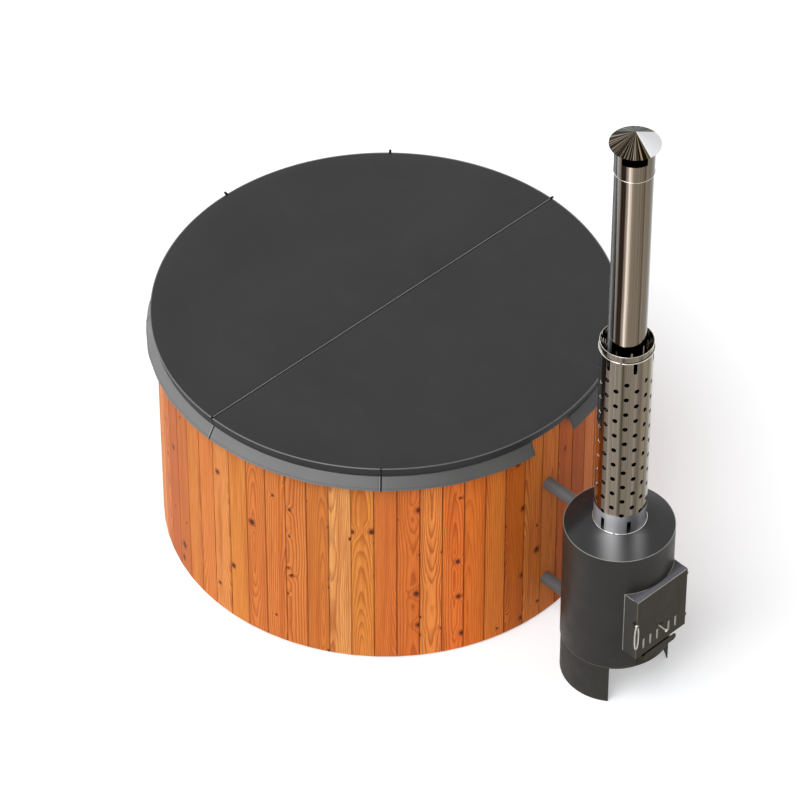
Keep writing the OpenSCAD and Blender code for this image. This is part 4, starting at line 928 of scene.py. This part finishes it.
# each half's panels from and to which degrees, and its joins: (degrees, the knot's radius)
for half, panels, seams in (
        ("stove_side", ((MOUTH_DEG, 45), (45, 90), (-45, -MOUTH_DEG), (-90, -45)),
         ((45, 0.0028), (-45, 0.0028))),
        ("far_side", ((90, 135), (135, 180), (180, 225), (225, 270)),
         ((135, 0.0050), (180, 0.0050), (225, 0)))):
    body = HALVES[half][1]
    gaps = {a: FOLD_DEG if a % 180 == 90 else SEAM_DEG if a % PANEL_DEG == 0 else 0
            for pair in panels for a in pair}
    cut = [(a + gaps[a], b - gaps[b]) for a, b in panels]
    skirt = new_piece(half + "_skirt_panels", *joined([skirt_panel(a, b) for a, b in cut]), skirt_cloth)
    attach(skirt, body)
    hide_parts(half + "_skirt")
    bars = [bar for degrees, knot_r in seams for bar in seam_bars(degrees, knot_r)]
    cover = new_piece(half + "_skirt_seams", *joined(bars), seam_cloth)
    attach(cover, body)

# behind each gap between the halves hangs a dark flap, sewn to the half beside the stove, as painted shade
# that keeps the gap dark, and the fold's own piping ends in a knot above it
flaps = [skirt_panel(a - FLAP_DEG, a + FLAP_DEG, FLAP_INWARD) for a in (-90, 90)]
flap = new_piece("fold_gap_flaps", *joined(flaps), seam_cloth)
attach(flap, "stove_half_cover")
knots = [tube([(0, s * 0.9160, 1.0487), (0, s * 0.9210, 1.0494), (0, s * 0.9260, 1.0487)], knot_r, 12)
         for s, knot_r in ((1, 0.0048), (-1, 0.0026))]
knots = new_piece("fold_end_knots", *joined(knots), seam_cloth)
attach(knots, "stove_half_cover")


# ---- Folding cover: welts ----
# A cord in a strip of paler cloth, sewn between the pad's top and its wall all round each half and
# darker beside the stove. A thinner one covers the sewn fold that joins the halves.
RIM_POINTS, FOLD_POINTS = 260, 240
FOLD_END, FOLD_WELT_Z = 0.9115, 1.0483


def welt_finish():
    """Painted shade darkens the welt beside the stove, and dark stitches hold it over each of the skirt's
    joins.
    """
    f = leather_cloth("pale_welt_cloth", "#666666", "#707070", 0.3, 0.42, gloss=0.5)
    x, y = f.split(f.place)[:2]
    turn = f.line(f.calc("ARCTAN2", y, x), 1 / tau, 0.5)
    # painted shade beside the stove
    painted_shade_tone = f.ramp(turn, (0.36, 1.0), (0.42, 0.62), (0.6, 0.6), (0.8, 1.0))
    eighth = f.calc("FRACT", f.times(turn, 8))
    stitch = f.span(apart(f, eighth, 0.5), 0.5 - 0.16 / PANEL_DEG, 0.5 - 0.1 / PANEL_DEG)
    f.set(Base_Color=f.blend(stitch, f.blend(1.0, f.cloth, painted_shade_tone, "MULTIPLY"), "#121212"))
    return f


welt_cloth = welt_finish()
fold_cloth = leather_cloth("fold_welt_cloth", "#6c6c6c", "#757575", 0.34, 0.46, gloss=0.3)
for half, (side, body) in HALVES.items():
    stop = asin((FOLD_GAP + WELT_THICK) / WELT_R)
    turns = np.linspace(-pi / 2 + stop, pi / 2 - stop, RIM_POINTS) + (0 if side > 0 else pi)
    welt = new_piece(half + "_welt", *tube(at_angle(WELT_R, turns, WELT_Z), 0.0027, 12), welt_cloth)
    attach(welt, body)
    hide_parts(half + "_piping")

path = np.linspace((0, -FOLD_END, FOLD_WELT_Z), (0, FOLD_END, FOLD_WELT_Z), FOLD_POINTS)
welt = new_piece("fold_welt", *tube(path, 0.0023, 10), fold_cloth)
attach(welt, "stove_half_cover")
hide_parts("fold_piping")


# ---- Floor and soft light ----
# A plain studio: a pale floor that shows as white and keeps a soft grey shadow, and an even white
# surround. The key light is high at the front left of the picture, a weak low one fills from the
# back left, and another low one shines from the front.
FLOOR_RADII = (0.02, 4.0, 12.0, 30.0, 60.0)
FLOOR_SIDES = 64
UNDER_FEET = -0.0005


def seen_rays(nodes):
    """1 for the rays that show a thing itself, straight or mirrored, and 0 for those that light others."""
    rays = nodes.node("LightPath").outputs
    indirect = nodes.larger(rays["Is Glossy Ray"], rays["Is Transmission Ray"])
    return nodes.larger(rays["Is Camera Ray"], indirect)


turns = np.linspace(0, tau, FLOOR_SIDES, endpoint=False)
points = at_angle(np.array(FLOOR_RADII)[:, None], turns, UNDER_FEET)
faces = lattice(len(FLOOR_RADII), FLOOR_SIDES) + [list(range(FLOOR_SIDES))]
studio = Finish("studio_floor", Roughness=0.9, Specular_IOR_Level=0.0, Emission_Color="#ffffff")
cloudy = studio.noise(studio.place, 0.4, 2)
studio.set(Base_Color=studio.blend(cloudy, (0.69, 0.7, 0.715, 1.0), (0.71, 0.72, 0.735, 1.0)),
           Emission_Strength=studio.times(seen_rays(studio), 0.4))
new_piece("studio_floor", points, faces, studio)

world = bpy.data.worlds.new("studio_surround")
world.use_nodes = True
sky = Nodes(world.node_tree)
background = sky.tree.nodes["Background"].inputs
sky.join(background["Color"], "#ffffff")
sky.join(background["Strength"], sky.span(seen_rays(sky), 0.0, 1.0, 0.4, 1.0))
bpy.context.scene.world = world


def sun(name, direction, strength, spread_deg):
    """A distant lamp that shines from the given direction, as wide as spread_deg across."""
    lamp = bpy.data.lights.new(name, "SUN")
    lamp.energy, lamp.angle = strength, radians(spread_deg)
    holder = bpy.data.objects.new(name, lamp)
    holder.rotation_euler = Vector(direction).to_track_quat("Z", "Y").to_euler()
    bpy.context.scene.collection.objects.link(holder)


sun("key_light", (0.05, -0.85, 1.35), 1.9, 40)
sun("fill_light", (-0.9, -0.25, 0.35), 0.6, 60)
sun("front_light", (0.3, -0.85, 0.6), 0.5, 40)


# ---- Camera ----
# The picture's own view: from the front right, 43 degrees above the floor, with a long lens.
# Positions are in metres, as in the frame.
AZIMUTH_DEG, ELEVATION_DEG, DISTANCE = 46.0, 43.2447, 20.142
LOOK_AT = (0.0387, 0.0401, 0.5399)
LENS_MM, SENSOR_MM = 227.95, 36.0

a, e = radians(AZIMUTH_DEG), radians(ELEVATION_DEG)
away = np.array([sin(a) * cos(e), -cos(a) * cos(e), sin(e)])
view = bpy.data.cameras.new("picture_camera")
view.lens, view.sensor_width, view.clip_end = LENS_MM, SENSOR_MM, 200.0
camera = bpy.data.objects.new("picture_camera", view)
camera.location = np.array(LOOK_AT) + DISTANCE * away
camera.rotation_euler = (pi / 2 - e, 0.0, a)
bpy.context.scene.collection.objects.link(camera)
bpy.context.scene.camera = camera
bpy.context.scene.view_settings.view_transform = "Standard"
